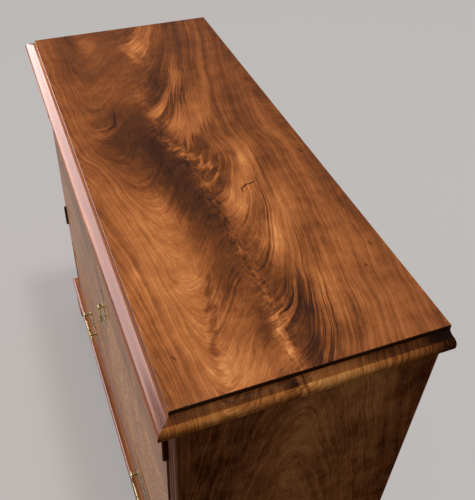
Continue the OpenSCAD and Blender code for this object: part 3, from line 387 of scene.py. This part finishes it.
def dark_lines(tree, leaf):
    """Thin dark lines that follow the streaks over the outer part of the leaf."""
    thin = streaks(tree, leaf.flow, 17, 320, 1.0, leaf.seed + 13)
    thin = add(tree, "ShaderNodeMath", {"operation": "SUBTRACT", 0: thin, 1: 0.5})
    thin = add(tree, "ShaderNodeMath", {"operation": "ABSOLUTE", 0: thin})
    thin = add(tree, "ShaderNodeMapRange", {
        "interpolation_type": "SMOOTHSTEP", "Value": thin, "From Min": 0.028, "From Max": 0.006})
    where = curve(tree, leaf.off, LINE_FIGURE, 0.0, 1.0)
    outer = add(tree, "ShaderNodeMapRange", {
        "interpolation_type": "SMOOTHSTEP", "Value": leaf.swept, "From Min": 0.1, "From Max": 0.4})
    where = add(tree, "ShaderNodeMath", {"operation": "MULTIPLY", 0: where, 1: outer})
    return add(tree, "ShaderNodeMath", {"operation": "MULTIPLY", 0: thin, 1: where})


def cross_ticks(tree, leaf, turn):
    """Fine ripples across the figure, 1.5 to 6 mm apart, turned by some degrees."""
    turned = add(tree, "ShaderNodeMapping", {
        "Vector": leaf.place, "Rotation": (0, 0, math.radians(turn))})
    dash = mix_in(tree, streaks(tree, turned, 1.5, 60, 1.0, leaf.seed + 17),
                  streaks(tree, turned, 6, 90, 1.0, leaf.seed + 19), 0.5)
    return add(tree, "ShaderNodeMapRange", {"Value": dash, "From Min": 0.38, "From Max": 0.64})


# Crotch mahogany veneer, French polished: streaks curl off a spine, light feathers lie between
# brown ones, and a few dark lines follow them. Saw-cut veneer laid by hand, so no leaf is even.
def crotch_veneer(name, seed, spine, bend, figure, tones, gloss, contrast, turn=(0, 0, 0),
                  shift=(0, 0, 0), spots=(), middle_tone=0.47, shine=0.5, marks=(), lines=0.0,
                  flecks=1.5, ticks=0.0, tick_turn=15, joint=None):
    material, tree = new_material(name)
    tone = middle_tone
    if joint is None:
        place = placed(tree, turn, shift)
    else:
        place, tone = quartered(tree, turn, shift, joint, middle_tone)
    leaf = leaf_of(tree, place, spine, bend, seed)
    if spots:
        tone = add(tree, "ShaderNodeMath", {
            "operation": "ADD", 0: feathered(tree, leaf, spots), 1: tone})
    amount = curve(tree, leaf.off, figure, 0.0, 1.2)
    amount = add(tree, "ShaderNodeMath", {"operation": "MULTIPLY", 0: amount, 1: contrast})
    tone = add(tree, "ShaderNodeMath", {
        "operation": "MULTIPLY_ADD", 0: broad_streaks(tree, leaf), 1: amount, 2: tone})
    # The fibres show evenly over the leaf, and stand out more toward its near end.
    amount = add(tree, "ShaderNodeMath", {
        "operation": "MULTIPLY_ADD", 0: amount, 1: 0.5, 2: 0.5 * contrast})
    nearer = add(tree, "ShaderNodeMapRange", {
        "Value": leaf.along, "From Min": -0.2, "From Max": 0.3, "To Min": 1.0, "To Max": 1.45})
    amount = add(tree, "ShaderNodeMath", {"operation": "MULTIPLY", 0: amount, 1: nearer})
    tone = add(tree, "ShaderNodeMath", {
        "operation": "MULTIPLY_ADD", 0: fibres(tree, leaf, not ticks), 1: amount, 2: tone})
    tone = add(tree, "ShaderNodeMath", {
        "operation": "MULTIPLY_ADD", 0: turned_flecks(tree, leaf), 1: flecks * contrast, 2: tone})
    if lines:
        tone = add(tree, "ShaderNodeMath", {
            "operation": "MULTIPLY_ADD", 0: dark_lines(tree, leaf), 1: -lines, 2: tone})
    if ticks:
        tone = mix_in(tree, tone, cross_ticks(tree, leaf, tick_turn), ticks)
    # The wood's own grain, 4 mm and finer
    grain = add(tree, "ShaderNodeTexNoise", {
        "Vector": leaf.place, "Scale": 260.0, "Detail": 3.0, "Roughness": 0.7})
    tone = mix_in(tree, tone, grain, 0.16)
    if marks:
        tone = add(tree, "ShaderNodeMath", {
            "operation": "ADD", 0: tone, 1: patches(tree, leaf.place, marks)})
    pores = streaks(tree, leaf.flow, 1.1, 9, 1.0, seed + 11)
    pores = add(tree, "ShaderNodeMapRange", {"Value": pores, "From Min": 0.30, "From Max": 0.42})
    tone = add(tree, "ShaderNodeMath", {"operation": "MULTIPLY_ADD", 0: pores, 1: 0.08, 2: tone})
    tone = add(tree, "ShaderNodeMath", {"operation": "SUBTRACT", 0: tone, 1: 0.06})
    return polish(tree, material, toned(tree, tone, tones), pores, gloss, 0.25, shine=shine)


# Straight-grained solid mahogany, French polished: ribbon figure and short dark pores. Where
# darker_ends is given, the faces toward the ends of the case are darker and duller, and it says how
# much of the fine grain shows there.
def straight_mahogany(name, turn, gloss, seed, tones=PLAIN_TONES, coat=0.0, shine=0.5,
                      darker_ends=0.0):
    material, tree = new_material(name)
    place = placed(tree, turn)
    # The grain wanders within 30 mm over about 250 mm.
    stir = add(tree, "ShaderNodeTexNoise", {"Vector": place, "Scale": 4.0, "Detail": 1.0}, 1)
    stir = add(tree, "ShaderNodeVectorMath", {"operation": "SCALE", 0: stir, "Scale": 0.03})
    place = add(tree, "ShaderNodeVectorMath", {"operation": "ADD", 0: place, 1: stir})
    split = add(tree, "ShaderNodeSeparateXYZ", {0: place}).node.outputs
    flow = add(tree, "ShaderNodeCombineXYZ", {0: split[1], 1: split[0], 2: split[2]})
    ribbon = straight_grain(tree, flow, 14, 220, 3.0, (seed, 0, seed))
    fine = straight_grain(tree, flow, 3, 60, 3.0, (seed, 0, 3 * seed))
    pores = straight_grain(tree, flow, 0.9, 9, 1.0, (0, seed, 0))
    pores = add(tree, "ShaderNodeMapRange", {"Value": pores, "From Min": 0.30, "From Max": 0.42})
    tone = mix_in(tree, ribbon, fine, 0.35)
    tone = add(tree, "ShaderNodeMath", {"operation": "MULTIPLY_ADD", 0: pores, 1: 0.10, 2: tone})
    tone = add(tree, "ShaderNodeMath", {"operation": "SUBTRACT", 0: tone, 1: 0.08})
    colour = toned(tree, tone, tones)
    toward_end = None
    if darker_ends:
        facing = add(tree, "ShaderNodeNewGeometry", {}, "Normal")
        facing = add(tree, "ShaderNodeSeparateXYZ", {0: facing})
        facing = add(tree, "ShaderNodeMath", {"operation": "ABSOLUTE", 0: facing})
        toward_end = add(tree, "ShaderNodeMapRange", {
            "Value": facing, "From Min": 0.9, "From Max": 0.98})
        colour = add(tree, "ShaderNodeMixRGB", {
            "Fac": toward_end, "Color1": colour,
            "Color2": toned(tree, mix_in(tree, ribbon, fine, darker_ends), END_TONES)})
    return polish(tree, material, colour, pores, gloss, 0.2, coat, shine, toward_end)


# Bare planed secondary wood, dulled by age: straight grain, no finish. Rings are that many mm apart.
def bare_wood(name, turn, tones, rings, seed):
    material, tree = new_material(name)
    place = placed(tree, turn)
    split = add(tree, "ShaderNodeSeparateXYZ", {0: place}).node.outputs
    flow = add(tree, "ShaderNodeCombineXYZ", {0: split[1], 1: split[0], 2: split[2]})
    bands = straight_grain(tree, flow, rings, rings * 30, 4.0, (seed, 0, seed))
    fibre = straight_grain(tree, flow, 1.5, 40, 2.0)
    colour = toned(tree, mix_in(tree, bands, fibre, 0.3), tones)
    dents = add(tree, "ShaderNodeBump", {"Height": fibre, "Strength": 0.25, "Distance": 0.0003})
    skin = add(tree, "ShaderNodeBsdfPrincipled", {
        "Base Color": colour, "Roughness": 0.72, "Normal": dents})
    add(tree, "ShaderNodeOutputMaterial", {"Surface": skin})
    return material


# Cast and filed brass, polished and lacquered long ago: warm yellow, browner in clouds of about
# 11 mm, where it is also duller, with file marks of about 1 mm.
def old_brass(name, bright, brown, roughness):
    material, tree = new_material(name)
    here = add(tree, "ShaderNodeTexCoord", {}, "Object")
    cloud = add(tree, "ShaderNodeTexNoise", {"Vector": here, "Scale": 90.0, "Detail": 4.0})
    colour = toned(tree, cloud, [(0.35, brown), (0.62, bright)])
    rough = add(tree, "ShaderNodeMapRange", {
        "Value": cloud, "From Min": 0.3, "From Max": 0.7, "To Min": roughness + 0.14,
        "To Max": roughness})
    filed = add(tree, "ShaderNodeTexNoise", {"Vector": here, "Scale": 900.0, "Detail": 2.0})
    dents = add(tree, "ShaderNodeBump", {"Height": filed, "Strength": 0.12, "Distance": 0.0001})
    skin = add(tree, "ShaderNodeBsdfPrincipled", {
        "Base Color": colour, "Metallic": 1.0, "Roughness": rough, "Normal": dents})
    add(tree, "ShaderNodeOutputMaterial", {"Surface": skin})
    return material


# Bright filed steel of a lock bolt, with file marks about 5 mm long and 0.4 mm wide
def filed_steel(name):
    material, tree = new_material(name)
    here = add(tree, "ShaderNodeTexCoord", {}, "Object")
    drawn = add(tree, "ShaderNodeMapping", {"Vector": here, "Scale": (60, 60, 900)})
    marks = add(tree, "ShaderNodeTexNoise", {"Vector": drawn, "Scale": 3.0, "Detail": 3.0})
    colour = toned(tree, marks, [(0.3, "#6f6e6b"), (0.7, "#a5a4a0")])
    dents = add(tree, "ShaderNodeBump", {"Height": marks, "Strength": 0.2, "Distance": 0.0001})
    skin = add(tree, "ShaderNodeBsdfPrincipled", {
        "Base Color": colour, "Metallic": 1.0, "Roughness": 0.38, "Normal": dents})
    add(tree, "ShaderNodeOutputMaterial", {"Surface": skin})
    return material


# Turns that lay the grain along the front, along the ends, or upright
ALONG_FRONT = (0, 0, 0)
ALONG_ENDS = (0, 0, 90)
UPRIGHT = (0, 90, 0)
# The joint of the quartered doors, and where the returns and the ends take their leaf from
DOOR_JOINT = 0.655
RETURN_SHIFT = (0.854, 0, 0)
END_SHIFT = (0.55, 0, 0)

# The figured top: the brightest polish of the case, and the widest figure
top_veneer = crotch_veneer(
    "crotch_mahogany_top", 2.0, TOP_SPINE, TOP_BEND, TOP_FIGURE, TOP_TONES, 0.26, 0.78,
    spots=TOP_SPOTS, lines=0.3, shine=0.4, marks=TOP_MARKS)
# The same figure, cross-grained, goes on over the end mouldings, where the polish has dulled.
return_veneer = crotch_veneer(
    "crotch_mahogany_end_moulding", 2.0, TOP_SPINE, TOP_BEND, EVEN_FIGURE, RETURN_TONES, 0.5, 1.2,
    turn=(0, -45, 0), shift=RETURN_SHIFT, spots=RETURN_SPOTS, middle_tone=0.46, shine=0.0)
# Its hollow is painted darker: painted shade.
return_hollow_shade = crotch_veneer(
    "crotch_mahogany_end_hollow_painted_shade", 2.0, TOP_SPINE, TOP_BEND, EVEN_FIGURE, RETURN_TONES, 0.4, 0.9,
    turn=(0, -45, 0), shift=RETURN_SHIFT, spots=RETURN_SPOTS, middle_tone=0.24, shine=0.05)
# The end panels: an upright flame, dark and dull
end_veneer = crotch_veneer(
    "crotch_mahogany_ends", 5.0, END_SPINE, END_BEND, EVEN_FIGURE, END_TONES, 0.45, 1.3,
    turn=UPRIGHT, shift=END_SHIFT, spots=END_SPOTS, shine=0.0, ticks=0.1, tick_turn=90, flecks=0.4)
# The doors: rippled leaves at 45 degrees, faded, the left door darker than the right one
door_left_veneer = crotch_veneer(
    "crotch_mahogany_left_door", 8.0, END_SPINE, DOOR_BEND, EVEN_FIGURE, DOOR_TONES, 0.3, 0.7,
    turn=(90, 0, 45), middle_tone=0.40, shine=0.1, ticks=0.24, tick_turn=-15, flecks=0.8,
    joint=DOOR_JOINT)
door_right_veneer = crotch_veneer(
    "crotch_mahogany_right_door", 8.0, END_SPINE, DOOR_BEND, EVEN_FIGURE, DOOR_TONES, 0.3, 0.7,
    turn=(90, 0, -45), middle_tone=0.53, shine=0.1, ticks=0.26, flecks=0.8, joint=DOOR_JOINT)

# The front moulding: thick glossy polish that mirrors the room, dull on its lip, and painted
# paler below its nose: painted light on its lit lower edge
mahogany_front = straight_mahogany("mahogany_front_moulding", ALONG_FRONT, 0.20, 1.0, FRONT_TONES,
                                   coat=1.0, shine=1.0)
mahogany_lit_edge = straight_mahogany("mahogany_edge_painted_light", ALONG_FRONT, 0.4, 1.2, LIT_EDGE_TONES,
                                    shine=0.0)
mahogany_lip = straight_mahogany("mahogany_worn_lip", ALONG_FRONT, 0.4, 1.5, DRAWER_TONES,
                                 shine=0.0)
# The crease under the top's edge at the ends is painted black: painted shade.
mahogany_crease_shade = straight_mahogany("mahogany_crease_painted_shade", ALONG_ENDS, 0.5, 2.5, CREASE_SHADE_TONES,
                                    shine=0.0)
# The drawer front and its bead: faded and only a little glossy
drawer_wood = straight_mahogany("mahogany_drawer_front", ALONG_FRONT, 0.3, 6.0, DRAWER_TONES,
                                shine=0.15)
mahogany_faded = straight_mahogany("mahogany_faded_bead", ALONG_FRONT, 0.3, 7.0, DOOR_TONES,
                                   shine=0.3)
# Rails, feet and frames: plain wood under an even polish, and dark stiles
rail_wood = straight_mahogany("mahogany_along_front", ALONG_FRONT, 0.30, 1.0, shine=0.3)
end_wood = straight_mahogany("mahogany_along_ends", ALONG_ENDS, 0.30, 2.0, shine=0.3)
stile_wood = straight_mahogany("mahogany_upright", UPRIGHT, 0.45, 3.0, STILE_TONES, shine=0.04,
                               darker_ends=0.3)
# Hinges are lost under the same old polish as the stiles.
hinge_polish = straight_mahogany("hinges_under_old_polish", UPRIGHT, 0.5, 7.0, STILE_TONES,
                                 shine=0.0)
# The inside: oak shelves and drawer box, pine back
oak_across = bare_wood("oak_planed_x", ALONG_FRONT, OAK_TONES, 6, 1.0)
oak_front_to_back = bare_wood("oak_planed_y", ALONG_ENDS, OAK_TONES, 6, 4.0)
pine = bare_wood("pine_aged", UPRIGHT, PINE_TONES, 14, 2.0)
brass = old_brass("brass_polished", "#e8dcae", "#8f8050", 0.12)
steel = filed_steel("steel_filed")

FINISHES = {
    top_veneer: ["top_board"],
    end_veneer: ["end_panel_left", "end_panel_right"],
    door_left_veneer: ["door_left_veneer"],
    door_right_veneer: ["door_right_veneer"],
    drawer_wood: ["drawer_front"],
    mahogany_faded: ["drawer_bead"],
    rail_wood: ["top_moulding_front", "top_rail", "divider_rail", "bottom_rail",
                "base_moulding_front", "foot_front_left", "foot_front_right"],
    end_wood: ["top_moulding_left", "top_moulding_right", "base_moulding_left",
               "base_moulding_right", "foot_back_left", "foot_back_right"],
    stile_wood: ["corner_stile_left", "corner_stile_right", "door_left_frame", "door_right_frame"],
    oak_across: ["dust_board", "bottom_board", "shelf_upper", "shelf_lower", "drawer_back",
                 "drawer_bottom", "door_left_panel", "door_right_panel", "drawer_stops"],
    oak_front_to_back: ["shelf_bearers", "drawer_runners", "drawer_sides"],
    pine: ["back_boards", "top_lining"],
    steel: ["door_lock_bolt", "drawer_lock_bolt"],
    hinge_polish: ["hinge_leaves_carcass", "hinge_pins", "hinge_screws_carcass",
                   "door_left_hinge_leaves", "door_left_screws", "door_right_hinge_leaves",
                   "door_right_screws"],
    brass: ["door_left_bolt_cases", "door_bolt_upper", "door_bolt_lower", "door_lock_case",
            "door_pull_plate", "door_pull_post", "door_pull_drop", "drawer_lock_case",
            "handle_plates", "handle_posts", "bail_left", "bail_right"]}
# How far sharp edges are broken, in mm: metal, crisp joinery, and boards worn by use
METAL_EDGE = 0.3
CRISP_EDGE = 0.5
BOARD_EDGE = 1.2
MOULDING_EDGE = 0.35
CRISP_PIECES = ["top_board", "corner_stile_left", "corner_stile_right", "drawer_bead",
                "drawer_front", "door_left_veneer", "door_right_veneer"]


def only(piece):
    """Makes piece the one selected and active object."""
    bpy.ops.object.select_all(action="DESELECT")
    piece.select_set(True)
    bpy.context.view_layer.objects.active = piece


def break_edges(piece, width):
    """Adds a small bevel, in millimetres, to the edges sharper than 32 degrees."""
    edge = piece.modifiers.new("edge", "BEVEL")
    edge.width = width / 1000
    edge.segments = 2
    edge.limit_method = "ANGLE"
    edge.angle_limit = math.radians(32)
    return edge


def soften(piece, width):
    """Joins a CAD piece's loose triangles, then breaks its edges and shades its curves smooth."""
    only(piece)
    bpy.ops.object.shade_smooth()
    if piece.data.has_custom_normals:
        bpy.ops.mesh.customdata_custom_splitnormals_clear()
    weld = piece.modifiers.new("weld", "WELD")
    weld.merge_threshold = 0.000005
    flat = piece.modifiers.new("flat", "DECIMATE")
    flat.decimate_type = "DISSOLVE"
    flat.angle_limit = math.radians(0.3)
    break_edges(piece, width).harden_normals = True


for material, nodes in FINISHES.items():
    for node in nodes:
        node_object = frame["nodes"][node]
        node_object.data.materials.clear()
        node_object.data.materials.append(material)
        if material in (brass, steel, hinge_polish):
            soften(node_object, METAL_EDGE)
        elif node in CRISP_PIECES:
            soften(node_object, CRISP_EDGE)
        elif "moulding" not in node:
            soften(node_object, BOARD_EDGE)


def arc(centre, radii, start, end, steps):
    """Points along part of an ellipse, from one angle to another."""
    turns = [math.radians(start + (end - start) * i / steps) for i in range(steps + 1)]
    return [(centre[0] + radii[0] * math.cos(a), centre[1] + radii[1] * math.sin(a))
            for a in turns]


def finish_moulding(piece, name, material, node):
    """Names a moulding, gives it its material and lets it stand for its CAD node."""
    only(piece)
    bpy.ops.object.transform_apply(location=True, rotation=True, scale=True)
    bpy.ops.object.mode_set(mode="EDIT")
    bpy.ops.mesh.select_all(action="SELECT")
    bpy.ops.mesh.remove_doubles(threshold=0.000005)
    bpy.ops.mesh.normals_make_consistent(inside=False)
    bpy.ops.object.mode_set(mode="OBJECT")
    bpy.ops.object.shade_smooth_by_angle(angle=math.radians(35))
    piece.name = name
    piece.data.name = name
    piece.data.materials.clear()
    piece.data.materials.append(material)
    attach(piece, "carcass")
    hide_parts(node)
    return piece


def moulding(node, section, corner, run, length, cuts, material):
    """A moulding run along the front or an end. Its section is out and up in mm from the corner."""
    bpy.ops.object.select_all(action="DESELECT")
    bpy.ops.mesh.primitive_circle_add(vertices=len(section), fill_type="NGON", location=(0, 0, 0))
    piece = bpy.context.object
    out = Vector((run[1], -run[0], 0))
    for vertex, (x, z) in zip(piece.data.vertices, section):
        vertex.co = Vector(corner) + out * (x / 1000) + Vector((0, 0, z / 1000))
    only(piece)
    bpy.ops.object.mode_set(mode="EDIT")
    bpy.ops.mesh.select_all(action="SELECT")
    bpy.ops.mesh.extrude_region_move(
        TRANSFORM_OT_translate={"value": (run[0] * length, run[1] * length, 0)})
    for point, normal in cuts:
        bpy.ops.mesh.select_all(action="SELECT")
        bpy.ops.mesh.bisect(plane_co=point, plane_no=normal, use_fill=True, clear_outer=True)
    bpy.ops.object.mode_set(mode="OBJECT")
    only(piece)
    bpy.ops.object.modifier_apply(modifier=break_edges(piece, MOULDING_EDGE).name)
    return finish_moulding(piece, node + "_run", material, node)


def paint(piece, material, level, band):
    """Gives the faces whose middle lies in a band, in mm from level, their own material."""
    piece.data.materials.append(material)
    for face in piece.data.polygons:
        if band[0] < (face.center.z - level) * 1000 < band[1]:
            face.material_index = len(piece.data.materials) - 1


# Where the mouldings run: their heights, how far each corner lies inside the outline, and the spare
# length that the mitres cut off
TOP_LEVEL = cad_high[2]
BASE_LEVEL = 0.106
TOP_INSET = (0.023, 0.023)
BASE_INSET = (0.024, 0.029)
SPARE = 0.04
END_X = cad_high[0]
FRONT_Y = cad_low[1]
BACK_Y = cad_high[1]
# Top moulding, down from its corner: worn lip, cove, nose, flat and rounded underside
TOP_SECTION = (
    [(0, -0.3), (0.3, -0.3), (0.75, -0.75), (1.1, -1.6)]
    + arc((12, -7.5), (10.8, 6.5), 180, 264, 14) + arc((12.8, -22.5), (10.2, 8.4), 90, 0, 16)
    + arc((18.5, -27.5), (4.5, 4.5), 0, -90, 8) + [(0, -32)])
# Base moulding, up from its corner: a 14 mm flat, a torus of 6 mm radius on it, and a small cove
FLAT_OUT = 14
TORUS_X = 10.5
TORUS_R = 6
torus_start = -math.degrees(math.acos((FLAT_OUT - TORUS_X) / TORUS_R))
BASE_SECTION = (
    [(0, 0), (FLAT_OUT, 0)] + arc((TORUS_X, 16), (TORUS_R, TORUS_R), torus_start, 90, 18)
    + arc((5.5, 28), (4.7, 5.5), 270, 180, 8) + [(0, 28)])


# Heights in mm of the stretches that have their own finish: up or down from the moulding's level.
# The top's lower edge is painted light; the hollow and the crease at its ends are painted shade.
TOP_LIP = (-12.2, -1.6)
TOP_EDGE = (-33, -20.8)
TOP_HOLLOW = (-14.2, 1)
TOP_CREASE = (-5.8, 1)
BASE_LIP = (22.2, 29)


def three_sides(name, section, level, inset):
    """A moulding along the front, mitred into its returns along the ends; returns all three."""
    x = END_X - inset[0]
    y = FRONT_Y + inset[1]
    depth = BACK_Y - y + SPARE
    front = moulding(name + "_front", section, (-x - SPARE, y, level), (1, 0), 2 * (x + SPARE),
                     [((x, y, 0), (1, 1, 0)), ((-x, y, 0), (-1, 1, 0))], mahogany_front)
    right = moulding(name + "_right", section, (x, y - SPARE, level), (0, 1), depth,
                     [((x, y, 0), (-1, -1, 0))], return_veneer)
    left = moulding(name + "_left", section, (-x, BACK_Y, level), (0, -1), depth,
                    [((-x, y, 0), (1, -1, 0))], return_veneer)
    return front, right, left


top_front, top_right, top_left = three_sides("top_moulding", TOP_SECTION, TOP_LEVEL, TOP_INSET)
paint(top_front, mahogany_lip, TOP_LEVEL, TOP_LIP)
# Painted light: the lower edge of the front moulding is painted paler.
paint(top_front, mahogany_lit_edge, TOP_LEVEL, TOP_EDGE)
# Painted shade: the hollow and the crease of the end mouldings are painted darker.
for side in (top_right, top_left):
    paint(side, return_hollow_shade, TOP_LEVEL, TOP_HOLLOW)
    paint(side, mahogany_crease_shade, TOP_LEVEL, TOP_CREASE)
base_front = three_sides("base_moulding", BASE_SECTION, BASE_LEVEL, BASE_INSET)[0]
paint(base_front, mahogany_lip, BASE_LEVEL, BASE_LIP)


# Plain pale floor. The camera and shiny surfaces see it pale; it throws little light back.
def pale_floor():
    material, tree = new_material("floor_paper")
    path = add(tree, "ShaderNodeLightPath", {}).node.outputs
    seen = add(tree, "ShaderNodeMath", {
        "operation": "MAXIMUM", 0: path["Is Camera Ray"], 1: path["Is Glossy Ray"]})
    paper = add(tree, "ShaderNodeBsdfDiffuse", {"Color": linear("#faf6f2")})
    glow = add(tree, "ShaderNodeEmission", {"Color": linear("#c6c1bf"), "Strength": 1.0})
    shown = add(tree, "ShaderNodeMixShader", {0: 0.56, 1: paper, 2: glow})
    dim = add(tree, "ShaderNodeBsdfDiffuse", {"Color": linear("#6d6b69")})
    skin = add(tree, "ShaderNodeMixShader", {0: seen, 1: dim, 2: shown})
    add(tree, "ShaderNodeOutputMaterial", {"Surface": skin})
    return material


bpy.ops.object.select_all(action="DESELECT")
bpy.ops.mesh.primitive_plane_add(size=40, location=(0, 0, -0.0005))
floor = bpy.context.object
floor.name = "floor"
floor.data.materials.append(pale_floor())

# An even studio, darker where shiny surfaces reflect it
world = bpy.data.worlds.new("studio")
scene.world = world
world.use_nodes = True
world.node_tree.nodes.clear()
ray = add(world.node_tree, "ShaderNodeLightPath", {}, "Is Glossy Ray")
strength = add(world.node_tree, "ShaderNodeMapRange", {"Value": ray, "To Min": 0.28, "To Max": 0.14})
sky = add(world.node_tree, "ShaderNodeBackground", {
    "Color": linear("#ffffff"), "Strength": strength})
add(world.node_tree, "ShaderNodeOutputWorld", {"Surface": sky})


def soft_light(name, place, aim, width, height, power, colour="#ffffff"):
    """A large soft box, not seen by the camera itself."""
    lamp = bpy.data.lights.new(name, "AREA")
    lamp.shape = "RECTANGLE"
    lamp.size = width
    lamp.size_y = height
    lamp.energy = power
    lamp.color = linear(colour)[:3]
    box = bpy.data.objects.new(name, lamp)
    scene.collection.objects.link(box)
    toward = (Vector(aim) - Vector(place)).to_track_quat("-Z", "Y").to_matrix().to_4x4()
    box.matrix_world = Matrix.Translation(place) @ toward
    box.visible_camera = False
    return box


def light_only(box, wanted):
    """Keeps a soft box's light to the pieces that wanted picks."""
    lit = bpy.data.collections.new("lit_by_" + box.name)
    for piece in bpy.data.objects:
        if piece.type == "MESH" and wanted(piece):
            lit.objects.link(piece)
    box.light_linking.receiver_collection = lit


# A small high lamp casts the floor's shadow. A wide one fills the front, on the object alone.
soft_light("key", (0.9, 0.9, 9.0), (0, 0, 0.9), 0.9, 0.9, 190)
window = soft_light("front_left", (-1.8, -1.9, 2.2), (0, -0.1, 0.85), 3.2, 3.0, 170)
window.visible_glossy = False
light_only(window, lambda piece: piece != floor)
# A pale wall on the left that the brass mirrors, and a pale slope that the front mouldings mirror
wall = soft_light("pale_wall", (-1.8, -1.85, 2.7), (0, -0.2, 0.95), 4.8, 4.4, 150)
wall.visible_diffuse = False
light_only(wall, lambda piece: brass in list(piece.data.materials))
slope = soft_light("pale_slope", (-2.25, -0.67, 2.77), (0, -0.22, 0.965), 5.0, 5.0, 240, "#ffdfda")
slope.visible_diffuse = False
light_only(slope, lambda piece: piece.name.endswith("front_run"))
